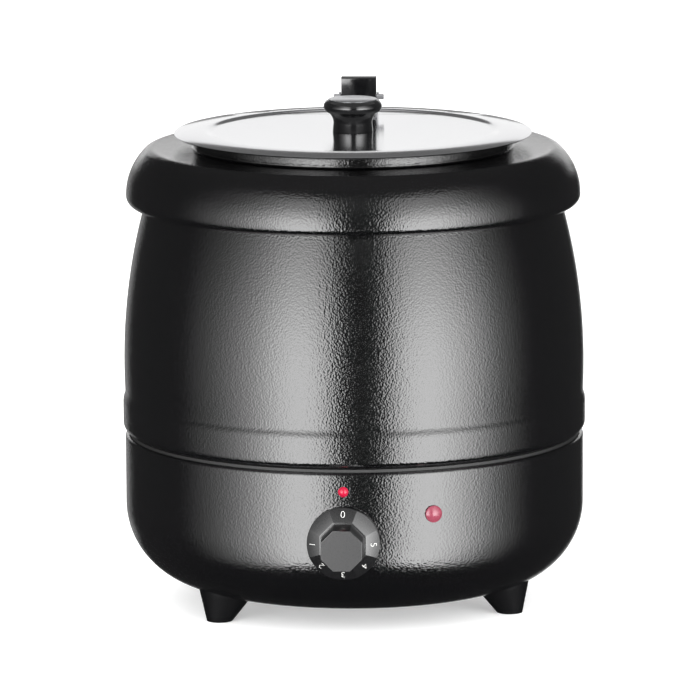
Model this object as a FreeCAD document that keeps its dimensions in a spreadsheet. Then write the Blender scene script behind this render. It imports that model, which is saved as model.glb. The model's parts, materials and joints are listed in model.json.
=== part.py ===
"""Electric soup kettle: a painted steel jacket, a water well, a lift-out pot and a split, hinged lid.

The origin is on the floor under the middle of the kettle, +Z is up and the control faces -Y.
Lengths are millimetres. A bearing is counted from the control towards +X.
"""
import FreeCAD, Part
import math
import os
import Sketcher
from FreeCAD import Placement, Rotation, Vector

doc = FreeCAD.newDocument("soup_kettle")
sheet = doc.addObject("Spreadsheet::Sheet", "sizes")
nodes = []

X_AXIS = Vector(1, 0, 0)
Z_AXIS = Vector(0, 0, 1)
UPRIGHT = Rotation()
FULL_TURN = 360.0
QUARTER_TURN = 90.0


class Size:
    """A length that carries both its number and the sheet formula behind it."""

    def __init__(self, number, formula):
        self.number = float(number)
        self.formula = formula

    def joined(self, sign, other, number):
        formula = other.formula if isinstance(other, Size) else str(float(other))
        return Size(number, f"({self.formula} {sign} {formula})")

    def __add__(self, other):
        return self.joined("+", other, self.number + plain(other))

    def __sub__(self, other):
        return self.joined("-", other, self.number - plain(other))

    def __mul__(self, other):
        return self.joined("*", other, self.number * plain(other))

    def __truediv__(self, other):
        return self.joined("/", other, self.number / plain(other))

    def __neg__(self):
        return Size(-self.number, f"(0 - {self.formula})")


def plain(value):
    """The number behind a size or a bare number."""
    return value.number if isinstance(value, Size) else float(value)


NOTHING = Size(0.0, "0")
size_count = 0


def size(alias, number):
    """Write one driving size to the sheet and hand back its Size."""
    global size_count
    size_count += 1
    sheet.set(f"A{size_count}", alias)
    sheet.set(f"B{size_count}", str(number))
    sheet.setAlias(f"B{size_count}", alias)
    return Size(number, f"sizes.{alias}")


# Pot and neck: the pot's radius and the base's height lead the rest
pot_radius = size("pot_radius", 113.8)
pot_wall = size("pot_wall", 0.8)
pot_corner = size("pot_corner", 12.0)
pot_rim_width = size("pot_rim_width", 5.7)
pot_rim_height = size("pot_rim_height", 3.4)
pot_rim_round = size("pot_rim_round", 1.5)
neck_play = size("neck_play", 1.6)
neck_height = size("neck_height", 7.4)
neck_fillet = size("neck_fillet", 2.0)
water_gap = size("water_gap", 14.2)
water_depth = size("water_depth", 15.0)
flange_play = size("flange_play", 4.0)
barrel_flange = size("barrel_flange", 23.5)
barrel_draw = size("barrel_draw", 13.0)
band_overhang = size("band_overhang", 1.5)
collar_overhang = size("collar_overhang", 11.0)

# Jacket: base bowl, barrel and collar
shell_wall = size("shell_wall", 1.2)
bowl_floor = size("bowl_floor", 17.0)
bowl_corner = size("bowl_corner", 59.0)
bowl_side = size("bowl_side", 51.0)
rim_roll = size("rim_roll", 2.5)
seam_flange = size("seam_flange", 12.5)
seam_gap = size("seam_gap", 2.0)
seam_recess = size("seam_recess", 3.0)
opening_inset = size("opening_inset", 47.5)
band_roll = size("band_roll", 7.0)
band_flat = size("band_flat", 17.0)
band_step = size("band_step", 4.5)
band_proud = size("band_proud", 1.6)
barrel_bow = size("barrel_bow", 438.0)
barrel_height = size("barrel_height", 128.5)
barrel_land = size("barrel_land", 35.0)
collar_bow = size("collar_bow", 50.0)
collar_lap = size("collar_lap", 8.0)
collar_side = size("collar_side", 6.0)
collar_blend = size("collar_blend", 8.0)
crown_run = size("crown_run", 5.25)
crown_rise = size("crown_rise", 2.65)
collar_gap = size("collar_gap", 0.4)
lip_roll = size("lip_roll", 3.0)
SHOULDER_TURN = 46.0

# Water well and heater
well_wall = size("well_wall", 1.0)
well_rise = size("well_rise", 78.0)
well_corner = size("well_corner", 15.0)
well_margin = size("well_margin", 6.5)
gasket_thickness = size("gasket_thickness", 1.0)
gasket_margin = size("gasket_margin", 2.0)
element_inset = size("element_inset", 48.0)
element_tube = size("element_tube", 4.0)
element_elbow = size("element_elbow", 10.0)
element_leg = size("element_leg", 24.0)
element_hole = size("element_hole", 10.5)
clamp_margin = size("clamp_margin", 15.0)
clamp_thickness = size("clamp_thickness", 2.0)
stud_radius = size("stud_radius", 4.0)
stud_length = size("stud_length", 30.0)
nut_flats = size("nut_flats", 13.0)
nut_height = size("nut_height", 6.5)
shield_margin = size("shield_margin", 25.0)
shield_lip = size("shield_lip", 6.0)
hole_clearance = size("hole_clearance", 0.15)
wall_drill = size("wall_drill", 9.6)
ELEMENT_SWEEP = 320.0

# Lid and its hinge
lid_overhang = size("lid_overhang", 17.2)
lid_wall = size("lid_wall", 0.8)
lid_disc_inset = size("lid_disc_inset", 12.8)
lid_step_width = size("lid_step_width", 8.0)
lid_step_rise = size("lid_step_rise", 1.6)
lid_land = size("lid_land", 2.0)
lid_edge_drop = size("lid_edge_drop", 1.9)
lid_play = size("lid_play", 0.02)
split_inset = size("split_inset", 25.8)
split_gap = size("split_gap", 0.8)
block_width = size("block_width", 25.7)
block_depth = size("block_depth", 11.0)
block_height = size("block_height", 27.5)
block_round = size("block_round", 1.5)
block_inset = size("block_inset", 0.6)
pin_radius = size("pin_radius", 2.0)
pin_length = size("pin_length", 37.0)
pin_height = size("pin_height", 12.3)
running_gap = size("running_gap", 0.05)
ear_thickness = size("ear_thickness", 1.5)
ear_gap = size("ear_gap", 0.5)
ear_radius = size("ear_radius", 3.4)
bracket_wall = size("bracket_wall", 1.0)
bracket_length = size("bracket_length", 18.0)
bracket_back = size("bracket_back", 4.0)
rivet_radius = size("rivet_radius", 1.6)
rivet_head = size("rivet_head", 3.0)
rivet_height = size("rivet_height", 1.2)
rivet_pitch = size("rivet_pitch", 14.0)
block_screw = size("block_screw", 1.5)
block_screw_head = size("block_screw_head", 2.8)
block_screw_depth = size("block_screw_depth", 7.0)
block_screw_pitch = size("block_screw_pitch", 14.0)
screw_head_height = size("screw_head_height", 2.0)
knob_height = size("knob_height", 23.2)
knob_base = size("knob_base", 14.8)
knob_waist = size("knob_waist", 14.2)
knob_waist_at = size("knob_waist_at", 6.5)
knob_waist_bend = size("knob_waist_bend", 9.7)
knob_lip = size("knob_lip", 21.3)
knob_lip_at = size("knob_lip_at", 18.6)
knob_lip_root = size("knob_lip_root", 17.9)
knob_lip_low = size("knob_lip_low", 14.1)
knob_lip_under = size("knob_lip_under", 4.7)
knob_lip_over = size("knob_lip_over", 5.2)
knob_top = size("knob_top", 18.5)
knob_cap_inset = size("knob_cap_inset", 0.7)
knob_cap_thickness = size("knob_cap_thickness", 0.8)
knob_screw = size("knob_screw", 2.5)
knob_screw_head = size("knob_screw_head", 4.6)
knob_screw_depth = size("knob_screw_depth", 12.0)
washer_radius = size("washer_radius", 8.0)
washer_thickness = size("washer_thickness", 1.0)

# Controls on the base bowl
control_rise = size("control_rise", 59.5)
skirt_gap = size("skirt_gap", 1.0)
skirt_radius = size("skirt_radius", 26.2)
skirt_edge = size("skirt_edge", 2.5)
skirt_height = size("skirt_height", 9.0)
skirt_waist = size("skirt_waist", 33.0)
skirt_recess = size("skirt_recess", 3.0)
skirt_wall = size("skirt_wall", 3.4)
grip_flats = size("grip_flats", 30.4)
grip_taper = size("grip_taper", 0.8)
grip_length = size("grip_length", 30.0)
hub_radius = size("hub_radius", 7.0)
spindle_radius = size("spindle_radius", 3.0)
spindle_grip = size("spindle_grip", 16.0)
spindle_tail = size("spindle_tail", 18.0)
spindle_hole = size("spindle_hole", 6.0)
saddle_width = size("saddle_width", 44.0)
saddle_height = size("saddle_height", 34.0)
saddle_depth = size("saddle_depth", 10.0)
saddle_gap = size("saddle_gap", 0.05)
thermostat_width = size("thermostat_width", 36.0)
thermostat_depth = size("thermostat_depth", 32.0)
thermostat_round = size("thermostat_round", 2.0)
thermostat_screw = size("thermostat_screw", 2.0)
thermostat_screw_head = size("thermostat_screw_head", 3.6)
thermostat_screw_pitch = size("thermostat_screw_pitch", 28.0)
thermostat_screw_bite = size("thermostat_screw_bite", 6.0)
capillary_radius = size("capillary_radius", 1.0)
capillary_bend = size("capillary_bend", 5.0)
capillary_lead = size("capillary_lead", 12.0)
bulb_radius = size("bulb_radius", 3.2)
bulb_length = size("bulb_length", 70.0)
bulb_rise = size("bulb_rise", 15.0)
index_rise = size("index_rise", 37.0)
index_radius = size("index_radius", 3.75)
index_edge = size("index_edge", 0.3)
index_dome = size("index_dome", 2.4)
index_shank = size("index_shank", 1.5)
index_shank_length = size("index_shank_length", 5.0)
lamp_rise = size("lamp_rise", 19.0)
lamp_flange = size("lamp_flange", 6.2)
lamp_flange_edge = size("lamp_flange_edge", 1.4)
lamp_dome = size("lamp_dome", 2.4)
lamp_shank = size("lamp_shank", 4.6)
lamp_shank_length = size("lamp_shank_length", 9.0)
lamp_body_wall = size("lamp_body_wall", 1.4)
lamp_body_length = size("lamp_body_length", 22.0)
lamp_body_gap = size("lamp_body_gap", 0.4)
BULB_BEARING = -35.0
LAMP_BEARING = 22.3

# Cord entry, underside and feet
gland_rise = size("gland_rise", 10.0)
gland_bore = size("gland_bore", 4.2)
gland_thread = size("gland_thread", 7.5)
gland_flats = size("gland_flats", 22.0)
gland_base = size("gland_base", 5.0)
gland_length = size("gland_length", 31.0)
gland_tip = size("gland_tip", 7.0)
gland_tip_radius = size("gland_tip_radius", 7.2)
gland_cap_bore = size("gland_cap_bore", 9.0)
gland_inside = size("gland_inside", 12.0)
gland_nut = size("gland_nut", 4.5)
gland_nut_gap = size("gland_nut_gap", 0.8)
cover_overlap = size("cover_overlap", 10.0)
cover_wall = size("cover_wall", 1.2)
cover_screw = size("cover_screw", 2.0)
cover_screw_head = size("cover_screw_head", 4.0)
cover_screw_length = size("cover_screw_length", 7.0)
vent_length = size("vent_length", 24.0)
vent_width = size("vent_width", 4.0)
vent_inset = size("vent_inset", 34.0)
terminal_length = size("terminal_length", 36.0)
terminal_width = size("terminal_width", 18.0)
terminal_height = size("terminal_height", 16.0)
terminal_way = size("terminal_way", 3.0)
foot_inset = size("foot_inset", 45.3)
foot_sole = size("foot_sole", 9.5)
foot_top = size("foot_top", 26.5)
foot_crown = size("foot_crown", 32.0)
foot_lean = size("foot_lean", 11.5)
foot_bolt = size("foot_bolt", 2.5)
foot_bolt_bite = size("foot_bolt_bite", 10.0)
foot_bolt_stand = size("foot_bolt_stand", 7.0)
foot_nut_flats = size("foot_nut_flats", 8.0)
foot_nut_height = size("foot_nut_height", 4.0)
foot_nut_gap = size("foot_nut_gap", 0.3)
FOOT_BOLT_LEAN = 12.0
FOOT_BEARING = -50.6
FOOT_NAMES = ("foot_left", "foot_right", "foot_rear")

# Fasteners of the seam and the collar
seam_screw = size("seam_screw", 2.0)
seam_screw_head = size("seam_screw_head", 3.2)
seam_screw_tail = size("seam_screw_tail", 5.0)
seam_nut_flats = size("seam_nut_flats", 6.4)
seam_nut_height = size("seam_nut_height", 3.2)
collar_stud = size("collar_stud", 2.5)
collar_stud_inset = size("collar_stud_inset", 15.5)
collar_stud_tail = size("collar_stud_tail", 7.0)
collar_spacer = size("collar_spacer", 5.0)
collar_nut_flats = size("collar_nut_flats", 8.0)
collar_nut_height = size("collar_nut_height", 4.0)
SEAM_SCREWS = 6
SEAM_BEARING = 30.0
COLLAR_STUDS = 4
STUD_BEARING = 45.0
COVER_SCREWS = 4
COVER_BEARING = 45.0
COVER_VENTS = 10


def on_axis(rise=NOTHING):
    """A place on the kettle's axis, that far above the floor."""
    return Placement(Vector(0, 0, plain(rise)), UPRIGHT)


def outward(radius, bearing, rise):
    """A place whose local Z points straight out of the jacket at a bearing."""
    turn = math.radians(bearing)
    base = Vector(plain(radius) * math.sin(turn), -plain(radius) * math.cos(turn), plain(rise))
    return Placement(base, Rotation(Z_AXIS, bearing) * Rotation(X_AXIS, QUARTER_TURN))


def around(radius, bearing, rise):
    """An upright place at a radius and a bearing."""
    turn = math.radians(bearing)
    base = Vector(plain(radius) * math.sin(turn), -plain(radius) * math.cos(turn), plain(rise))
    return Placement(base, Rotation(Z_AXIS, bearing))


def spread(count, first):
    """Evenly spaced bearings."""
    return [first + FULL_TURN * step / count for step in range(count)]


def bind(thing, **sizes):
    """Tie an object's properties to the sheet."""
    for name, value in sizes.items():
        thing.setExpression(name, value.formula)


def keep(thing, label):
    """Name a finished sub-part and list it for writing."""
    thing.Label = label
    nodes.append(thing)
    return thing


def arc_between(start, end, radius):
    """The short arc from start to end. A positive radius bulges to the right of the travel."""
    middle = (start + end) * 0.5
    chord = end - start
    side = Vector(-chord.y, chord.x, 0).normalize()
    away = math.sqrt(max(radius * radius - chord.Length ** 2 / 4, 0.0))
    centre = middle + side * math.copysign(away, radius)
    first, last = (start, end) if radius > 0 else (end, start)
    angles = [math.atan2(point.y - centre.y, point.x - centre.x) for point in (first, last)]
    return Part.ArcOfCircle(Part.Circle(centre, Z_AXIS, abs(radius)), *angles)


def fix(sketch, kind, edge, end, distance):
    """Hold one coordinate of a corner at a distance from the sketch's origin."""
    if abs(distance.number) < 1e-9:
        axis = -1 if kind == "DistanceY" else -2
        sketch.addConstraint(Sketcher.Constraint("PointOnObject", edge, end, axis))
        return
    if distance.number > 0:
        rule = Sketcher.Constraint(kind, -1, 1, edge, end, distance.number)
    else:
        distance = -distance
        rule = Sketcher.Constraint(kind, edge, end, -1, 1, distance.number)
    sketch.setExpression(f"Constraints[{sketch.addConstraint(rule)}]", distance.formula)


def draw(sketch, corners):
    """Close an outline. A corner is (across, up), with the radius of the arc that leaves it as a third."""
    points = [Vector(corner[0].number, corner[1].number, 0) for corner in corners]
    ends = []
    for index, corner in enumerate(corners):
        start, end = points[index], points[(index + 1) % len(points)]
        if len(corner) == 2:
            ends.append((sketch.addGeometry(Part.LineSegment(start, end)), 1, 2))
            continue
        edge = sketch.addGeometry(arc_between(start, end, corner[2].number))
        ends.append((edge, 1, 2) if corner[2].number > 0 else (edge, 2, 1))
        radius = corner[2] if corner[2].number > 0 else -corner[2]
        rule = sketch.addConstraint(Sketcher.Constraint("Radius", edge, radius.number))
        sketch.setExpression(f"Constraints[{rule}]", radius.formula)
    for index, (edge, tail, head) in enumerate(ends):
        following, next_tail, _ = ends[(index + 1) % len(ends)]
        sketch.addConstraint(Sketcher.Constraint("Coincident", edge, head, following, next_tail))
    for (edge, tail, _), corner in zip(ends, corners):
        fix(sketch, "DistanceX", edge, tail, corner[0])
        fix(sketch, "DistanceY", edge, tail, corner[1])


def new_sketch(body, role, corners):
    """An outline on one of a body's own origin planes."""
    sketch = body.newObject("Sketcher::SketchObject", f"{body.Name}_outline")
    plane = next(feature for feature in body.Origin.OriginFeatures if feature.Role == role)
    sketch.AttachmentSupport = (plane, [""])
    sketch.MapMode = "FlatFace"
    draw(sketch, corners)
    return sketch


def turned(name, corners, place=Placement()):
    """A body of revolution from an outline of (radius, height) corners."""
    body = doc.addObject("PartDesign::Body", name)
    sketch = new_sketch(body, "XZ_Plane", corners)
    revolution = body.newObject("PartDesign::Revolution", f"{name}_turn")
    revolution.Profile = sketch
    revolution.ReferenceAxis = (sketch, ["V_Axis"])
    revolution.Angle = FULL_TURN
    sketch.Visibility = False
    body.Placement = place
    return body


def padded(name, role, corners, length, place=Placement()):
    """A body pushed out to both sides of a plane by half its length."""
    body = doc.addObject("PartDesign::Body", name)
    pad = body.newObject("PartDesign::Pad", f"{name}_pad")
    pad.Profile = new_sketch(body, role, corners)
    pad.Midplane = True
    bind(pad, Length=length)
    body.Placement = place
    return body


def cylinder(name, radius, height, place=Placement()):
    """A round bar that starts at its place and runs along local Z."""
    bar = doc.addObject("Part::Cylinder", name)
    bind(bar, Radius=radius, Height=height)
    bar.Placement = place
    return bar


def block(name, across, deep, high, place):
    """A rectangular block that starts at its place."""
    box = doc.addObject("Part::Box", name)
    bind(box, Length=across, Width=deep, Height=high)
    box.Placement = place
    return box


def hexagon(name, flats, height, place=Placement()):
    """A six-sided bar, sized across its flats."""
    bar = doc.addObject("Part::Prism", name)
    bar.Polygon = 6
    bind(bar, Circumradius=flats / math.sqrt(3), Height=height)
    bar.Placement = place
    return bar


def together(kind, name, things):
    """Several objects as one: a union, or a group of separate solids."""
    group = doc.addObject(kind, name)
    setattr(group, "Shapes" if kind == "Part::MultiFuse" else "Links", list(things))
    return group


def fused(name, *things):
    """The union of several objects."""
    return together("Part::MultiFuse", name, things)


def grouped(name, things):
    """Separate solids that share a node."""
    return together("Part::Compound", name, things)


def cut(name, base, *tools):
    """An object with others taken out of it."""
    difference = doc.addObject("Part::Cut", name)
    difference.Base = base
    difference.Tool = tools[0] if len(tools) == 1 else grouped(f"{name}_tools", tools)
    return difference


def common(name, base, tool):
    """What two objects share."""
    overlap = doc.addObject("Part::Common", name)
    overlap.Base = base
    overlap.Tool = tool
    return overlap


def screw(name, head, head_height, shank, shank_length, place):
    """A round-headed screw: the head lies below its place, the shank above it along local Z."""
    low = place.multiply(Placement(Vector(0, 0, -plain(head_height)), UPRIGHT))
    cap = cylinder(f"{name}_head", head, head_height, low)
    bar = cylinder(f"{name}_shank", shank, shank_length, place)
    return fused(name, cap, bar)


def nut(name, flats, bore, height, place):
    """A hexagon nut that starts at its place."""
    bar = hexagon(f"{name}_hex", flats, height, place)
    return cut(name, bar, cylinder(f"{name}_bore", bore, height, place))


def drilled(name, base, radius, height, places):
    """An object with a round hole at each place."""
    drills = [cylinder(f"{name}_drill_{index}", radius, height, place)
              for index, place in enumerate(places)]
    return cut(name, base, *drills)


def bowl_outline(inset):
    """The solid bowl form, drawn in by a distance: its corners from the axis round the wall and back."""
    return [
        (NOTHING, bowl_floor + inset),
        (bowl_radius - bowl_corner, bowl_floor + inset, bowl_corner - inset),
        (bowl_radius - inset, bowl_floor + bowl_corner),
        (bowl_radius - inset, bowl_rim - inset),
        (NOTHING, bowl_rim - inset),
    ]


# Radii and heights that several pieces share
shoulder_turn = math.radians(SHOULDER_TURN)
neck_inner = pot_radius + neck_play
neck_radius = neck_inner + shell_wall
well_radius = pot_radius + water_gap
flange_inner = well_radius + flange_play
barrel_neck = flange_inner + barrel_flange
bowl_radius = barrel_neck + barrel_draw
band_radius = bowl_radius + band_overhang
collar_radius = barrel_neck + collar_overhang
collar_flat = collar_radius - collar_bow * (1 - math.cos(shoulder_turn)) - crown_run
collar_stud_circle = barrel_neck - collar_stud_inset
well_rim = barrel_neck - well_margin
lid_radius = pot_radius + lid_overhang
lid_disc = pot_radius - lid_disc_inset
split_chord = pot_radius - split_inset
element_ring = well_radius - element_inset
bottom_opening = bowl_radius - bowl_corner - opening_inset
vent_radius = bottom_opening - vent_inset
foot_circle = bowl_radius - foot_inset
seam_inner = bowl_radius - seam_flange
seam_circle = seam_inner + seam_screw_head + hole_clearance
bowl_rim = bowl_floor + bowl_corner + bowl_side
barrel_foot = bowl_rim + seam_gap
band_top = barrel_foot + band_roll + band_flat
barrel_shoulder = band_top + band_step + barrel_height
barrel_lip = barrel_shoulder + barrel_land
flange_under = barrel_lip - shell_wall
collar_low = barrel_shoulder + collar_lap
collar_waist = collar_low + collar_side
collar_top = collar_waist + collar_bow * math.sin(shoulder_turn) + crown_rise
collar_under = collar_top - shell_wall
neck_top = collar_top + neck_height
well_floor = bowl_floor + well_rise
well_lip = barrel_lip + gasket_thickness + well_wall
pot_floor = well_floor + water_depth
pot_rim_top = neck_top + pot_rim_height
land_end = lid_disc + lid_step_width + lid_land
rim_fall = lid_edge_drop / (lid_radius - land_end)
rim_touch = pot_radius + pot_rim_width - pot_rim_round
lid_base = pot_rim_top - lid_step_rise + rim_fall * (rim_touch - land_end) + lid_play
lid_top = lid_base + lid_wall
hinge_height = lid_top + pin_height
block_front = split_chord + block_inset
hinge_setback = block_front + block_depth / 2
clamp_under = well_floor - element_tube * 2 - clamp_thickness
shield_under = clamp_under - nut_height - well_wall
control_height = bowl_floor + control_rise
index_height = control_height + index_rise
lamp_height = control_height + lamp_rise
gland_height = control_height + gland_rise

seam_places = [around(seam_circle, bearing, bowl_rim) for bearing in spread(SEAM_SCREWS, SEAM_BEARING)]
collar_places = [around(collar_stud_circle, bearing, barrel_lip)
                 for bearing in spread(COLLAR_STUDS, STUD_BEARING)]
cover_circle = bottom_opening + cover_overlap / 2
cover_low = bowl_floor - cover_wall
cover_places = [around(cover_circle, bearing, cover_low) for bearing in spread(COVER_SCREWS, COVER_BEARING)]
control_place = outward(bowl_radius, 0.0, control_height)
lamp_place = outward(bowl_radius, LAMP_BEARING, lamp_height)
index_place = outward(bowl_radius, 0.0, index_height)
gland_place = outward(bowl_radius, 180.0, gland_height)


def sunk(place, depth):
    """A place moved back along its own Z."""
    return place.multiply(Placement(Vector(0, 0, -plain(depth)), UPRIGHT))


def beside(place, distance):
    """A place moved along its own X."""
    return place.multiply(Placement(Vector(plain(distance), 0, 0), UPRIGHT))


def foot_bolt_place(bearing):
    """The seat of a foot's bolt: on the bowl's outside, square to its rounded corner."""
    lean = math.radians(FOOT_BOLT_LEAN)
    reach = bowl_radius - bowl_corner + bowl_corner * math.sin(lean)
    rise = bowl_floor + bowl_corner * (1 - math.cos(lean))
    seat = around(reach, bearing, rise)
    return seat.multiply(Placement(Vector(), Rotation(X_AXIS, -FOOT_BOLT_LEAN)))


foot_bearings = dict(zip(FOOT_NAMES, spread(len(FOOT_NAMES), FOOT_BEARING)))
foot_bolt_places = {name: foot_bolt_place(bearing) for name, bearing in foot_bearings.items()}
head_reach = plain(thermostat_screw_pitch / 2 - thermostat_screw_head)
head_seat = plain(bowl_radius) - math.sqrt(plain(bowl_radius) ** 2 - head_reach ** 2)
thermostat_screw_places = [
    sunk(beside(control_place, thermostat_screw_pitch * side), head_seat) for side in (-0.5, 0.5)
]


def make_base_bowl():
    """The deep base, rolled in at its rim and open underneath for the cover."""
    inner_corner = bowl_corner - shell_wall
    blank = turned("base_bowl_blank", [
        (bottom_opening, bowl_floor),
        (bowl_radius - bowl_corner, bowl_floor, bowl_corner),
        (bowl_radius, bowl_floor + bowl_corner),
        (bowl_radius, bowl_rim - rim_roll, rim_roll),
        (bowl_radius - rim_roll, bowl_rim),
        (seam_inner, bowl_rim),
        (seam_inner, bowl_rim - shell_wall),
        (bowl_radius - rim_roll, bowl_rim - shell_wall, shell_wall - rim_roll),
        (bowl_radius - shell_wall, bowl_rim - rim_roll),
        (bowl_radius - shell_wall, bowl_floor + bowl_corner, -inner_corner),
        (bowl_radius - bowl_corner, bowl_floor + shell_wall),
        (bottom_opening, bowl_floor + shell_wall),
    ])
    depth = wall_drill
    holes = [
        cylinder("spindle_opening", spindle_hole, depth, sunk(control_place, depth / 2)),
        cylinder("lamp_opening", lamp_shank + hole_clearance, depth, sunk(lamp_place, depth / 2)),
        cylinder("index_opening", index_shank + hole_clearance, depth, sunk(index_place, depth / 2)),
        cylinder("gland_opening", gland_thread + hole_clearance, depth, sunk(gland_place, depth / 2)),
    ]
    for index, place in enumerate(thermostat_screw_places):
        holes.append(cylinder(f"thermostat_opening_{index}", thermostat_screw + hole_clearance, depth,
                              sunk(place, depth / 2)))
    for index, place in enumerate(seam_places):
        holes.append(cylinder(f"seam_opening_{index}", seam_screw + hole_clearance, depth,
                              sunk(place, depth / 2)))
    for index, place in enumerate(cover_places):
        holes.append(cylinder(f"cover_opening_{index}", cover_screw + hole_clearance, depth,
                              sunk(place, depth / 2)))
    for name, place in foot_bolt_places.items():
        holes.append(cylinder(f"{name}_opening", foot_bolt + hole_clearance, depth, sunk(place, depth / 2)))
    keep(cut("base_bowl_cut", blank, *holes), "base_bowl")


def make_barrel():
    """The bowed barrel with its raised band, turned in at both ends."""
    belly = band_radius - band_proud
    blank = turned("barrel_blank", [
        (seam_inner, barrel_foot),
        (band_radius - band_roll, barrel_foot, band_roll),
        (band_radius, barrel_foot + band_roll),
        (band_radius, band_top),
        (belly, band_top + band_step, barrel_bow),
        (barrel_neck, barrel_shoulder),
        (barrel_neck, barrel_lip),
        (flange_inner, barrel_lip),
        (flange_inner, flange_under),
        (barrel_neck - shell_wall, flange_under),
        (barrel_neck - shell_wall, barrel_shoulder, shell_wall - barrel_bow),
        (belly - shell_wall, band_top + band_step),
        (band_radius - shell_wall, band_top),
        (band_radius - shell_wall, barrel_foot + band_roll, shell_wall - band_roll),
        (band_radius - band_roll, barrel_foot + shell_wall),
        (seam_inner, barrel_foot + shell_wall),
    ])
    depth = wall_drill
    drills = [cylinder(f"barrel_seam_{index}", seam_screw + hole_clearance, depth, place)
              for index, place in enumerate(seam_places)]
    drills += [cylinder(f"barrel_stud_{index}", collar_stud + hole_clearance, depth, sunk(place, depth / 2))
               for index, place in enumerate(collar_places)]
    keep(cut("barrel_cut", blank, *drills), "barrel_shell")


def make_collar():
    """The domed collar: a turned-in lip, a bowed side, a flat top and the neck that holds the pot."""
    across = math.cos(shoulder_turn)
    up = math.sin(shoulder_turn)
    inner_bow = collar_bow - shell_wall
    centre = collar_radius - collar_bow
    lip_inner = barrel_neck + collar_gap
    fillet_height = collar_top + neck_fillet
    keep(turned("collar_body", [
        (lip_inner, collar_low),
        (collar_radius - lip_roll, collar_low, lip_roll),
        (collar_radius, collar_low + lip_roll),
        (collar_radius, collar_waist, collar_bow),
        (centre + collar_bow * across, collar_waist + collar_bow * up, collar_blend),
        (collar_flat, collar_top),
        (neck_radius + neck_fillet, collar_top, -neck_fillet),
        (neck_radius, fillet_height),
        (neck_radius, neck_top),
        (neck_inner, neck_top),
        (neck_inner, fillet_height, neck_fillet + shell_wall),
        (neck_radius + neck_fillet, collar_under),
        (collar_flat, collar_under, shell_wall - collar_blend),
        (centre + inner_bow * across, collar_waist + inner_bow * up, -inner_bow),
        (collar_radius - shell_wall, collar_waist),
        (collar_radius - shell_wall, collar_low + lip_roll, shell_wall - lip_roll),
        (collar_radius - lip_roll, collar_low + shell_wall),
        (lip_inner, collar_low + shell_wall),
    ]), "collar")


def ring(name, inner, outer, low, high):
    """A flat ring between two radii and two heights."""
    return turned(name, [(inner, low), (outer, low), (outer, high), (inner, high)])


def make_seam():
    """The gasket between bowl and barrel, and the screws and nuts that pull them together."""
    blank = ring("seam_gasket_ring", seam_inner, bowl_radius - seam_recess, bowl_rim, barrel_foot)
    drill = seam_screw + hole_clearance
    keep(drilled("seam_gasket_cut", blank, drill, seam_gap, seam_places), "seam_gasket")
    length = shell_wall * 2 + seam_gap + seam_screw_tail
    screws = []
    nuts = []
    for index, place in enumerate(seam_places):
        seat = sunk(place, shell_wall)
        screws.append(screw(f"seam_screw_{index}", seam_screw_head, screw_head_height, seam_screw,
                            length, seat))
        top = sunk(place, -(seam_gap + shell_wall))
        nuts.append(nut(f"seam_nut_{index}", seam_nut_flats, seam_screw + running_gap,
                        seam_nut_height, top))
    keep(grouped("seam_screw_group", screws), "seam_screws")
    keep(grouped("seam_nut_group", nuts), "seam_nuts")


def make_collar_fixings():
    """Studs under the collar's top, spacers over the well's flange and nuts under the barrel's."""
    rise = collar_under - barrel_lip
    studs = []
    spacers = []
    nuts = []
    for index, place in enumerate(collar_places):
        low = sunk(place, shell_wall + collar_stud_tail)
        length = rise + shell_wall + collar_stud_tail
        studs.append(cylinder(f"collar_stud_{index}", collar_stud, length, low))
        base = sunk(place, -(gasket_thickness + well_wall))
        tall = rise - gasket_thickness - well_wall
        sleeve = cylinder(f"collar_sleeve_{index}", collar_spacer, tall, base)
        bore = cylinder(f"collar_sleeve_bore_{index}", collar_stud + running_gap, tall, base)
        spacers.append(cut(f"collar_spacer_{index}", sleeve, bore))
        under = sunk(place, shell_wall + collar_nut_height)
        nuts.append(nut(f"collar_nut_{index}", collar_nut_flats, collar_stud + running_gap,
                        collar_nut_height, under))
    keep(grouped("collar_stud_group", studs), "collar_studs")
    keep(grouped("collar_spacer_group", spacers), "collar_spacers")
    keep(grouped("collar_nut_group", nuts), "collar_nuts")


def make_well():
    """The tank that holds the water bath, hung from the barrel by its flange, and its gasket."""
    blank = turned("water_well_blank", [
        (NOTHING, well_floor),
        (well_radius - well_corner, well_floor, well_corner),
        (well_radius, well_floor + well_corner),
        (well_radius, well_lip - well_wall),
        (well_rim, well_lip - well_wall),
        (well_rim, well_lip),
        (well_radius - well_wall, well_lip),
        (well_radius - well_wall, well_floor + well_corner, well_wall - well_corner),
        (well_radius - well_corner, well_floor + well_wall),
        (NOTHING, well_floor + well_wall),
    ])
    places = [sunk(place, well_wall) for place in collar_places]
    drill = collar_stud + hole_clearance
    depth = gasket_thickness + well_wall * 3
    keep(drilled("water_well_cut", blank, drill, depth, places), "water_well")
    gasket = ring("well_gasket_ring", flange_inner + gasket_margin, well_rim - gasket_margin,
                  barrel_lip, barrel_lip + gasket_thickness)
    keep(drilled("well_gasket_cut", gasket, drill, depth, places), "well_gasket")


def make_pot():
    """The lift-out pot: straight sides, a rounded floor and a thick rim that rests on the neck."""
    rim = pot_radius + pot_rim_width
    inner = pot_radius - pot_wall
    keep(turned("soup_pot_body", [
        (NOTHING, pot_floor),
        (pot_radius - pot_corner, pot_floor, pot_corner),
        (pot_radius, pot_floor + pot_corner),
        (pot_radius, neck_top),
        (rim, neck_top),
        (rim, pot_rim_top - pot_rim_round, pot_rim_round),
        (rim - pot_rim_round, pot_rim_top),
        (inner, pot_rim_top),
        (inner, pot_floor + pot_corner, pot_wall - pot_corner),
        (pot_radius - pot_corner, pot_floor + pot_wall),
        (NOTHING, pot_floor + pot_wall),
    ]), "soup_pot")


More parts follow.
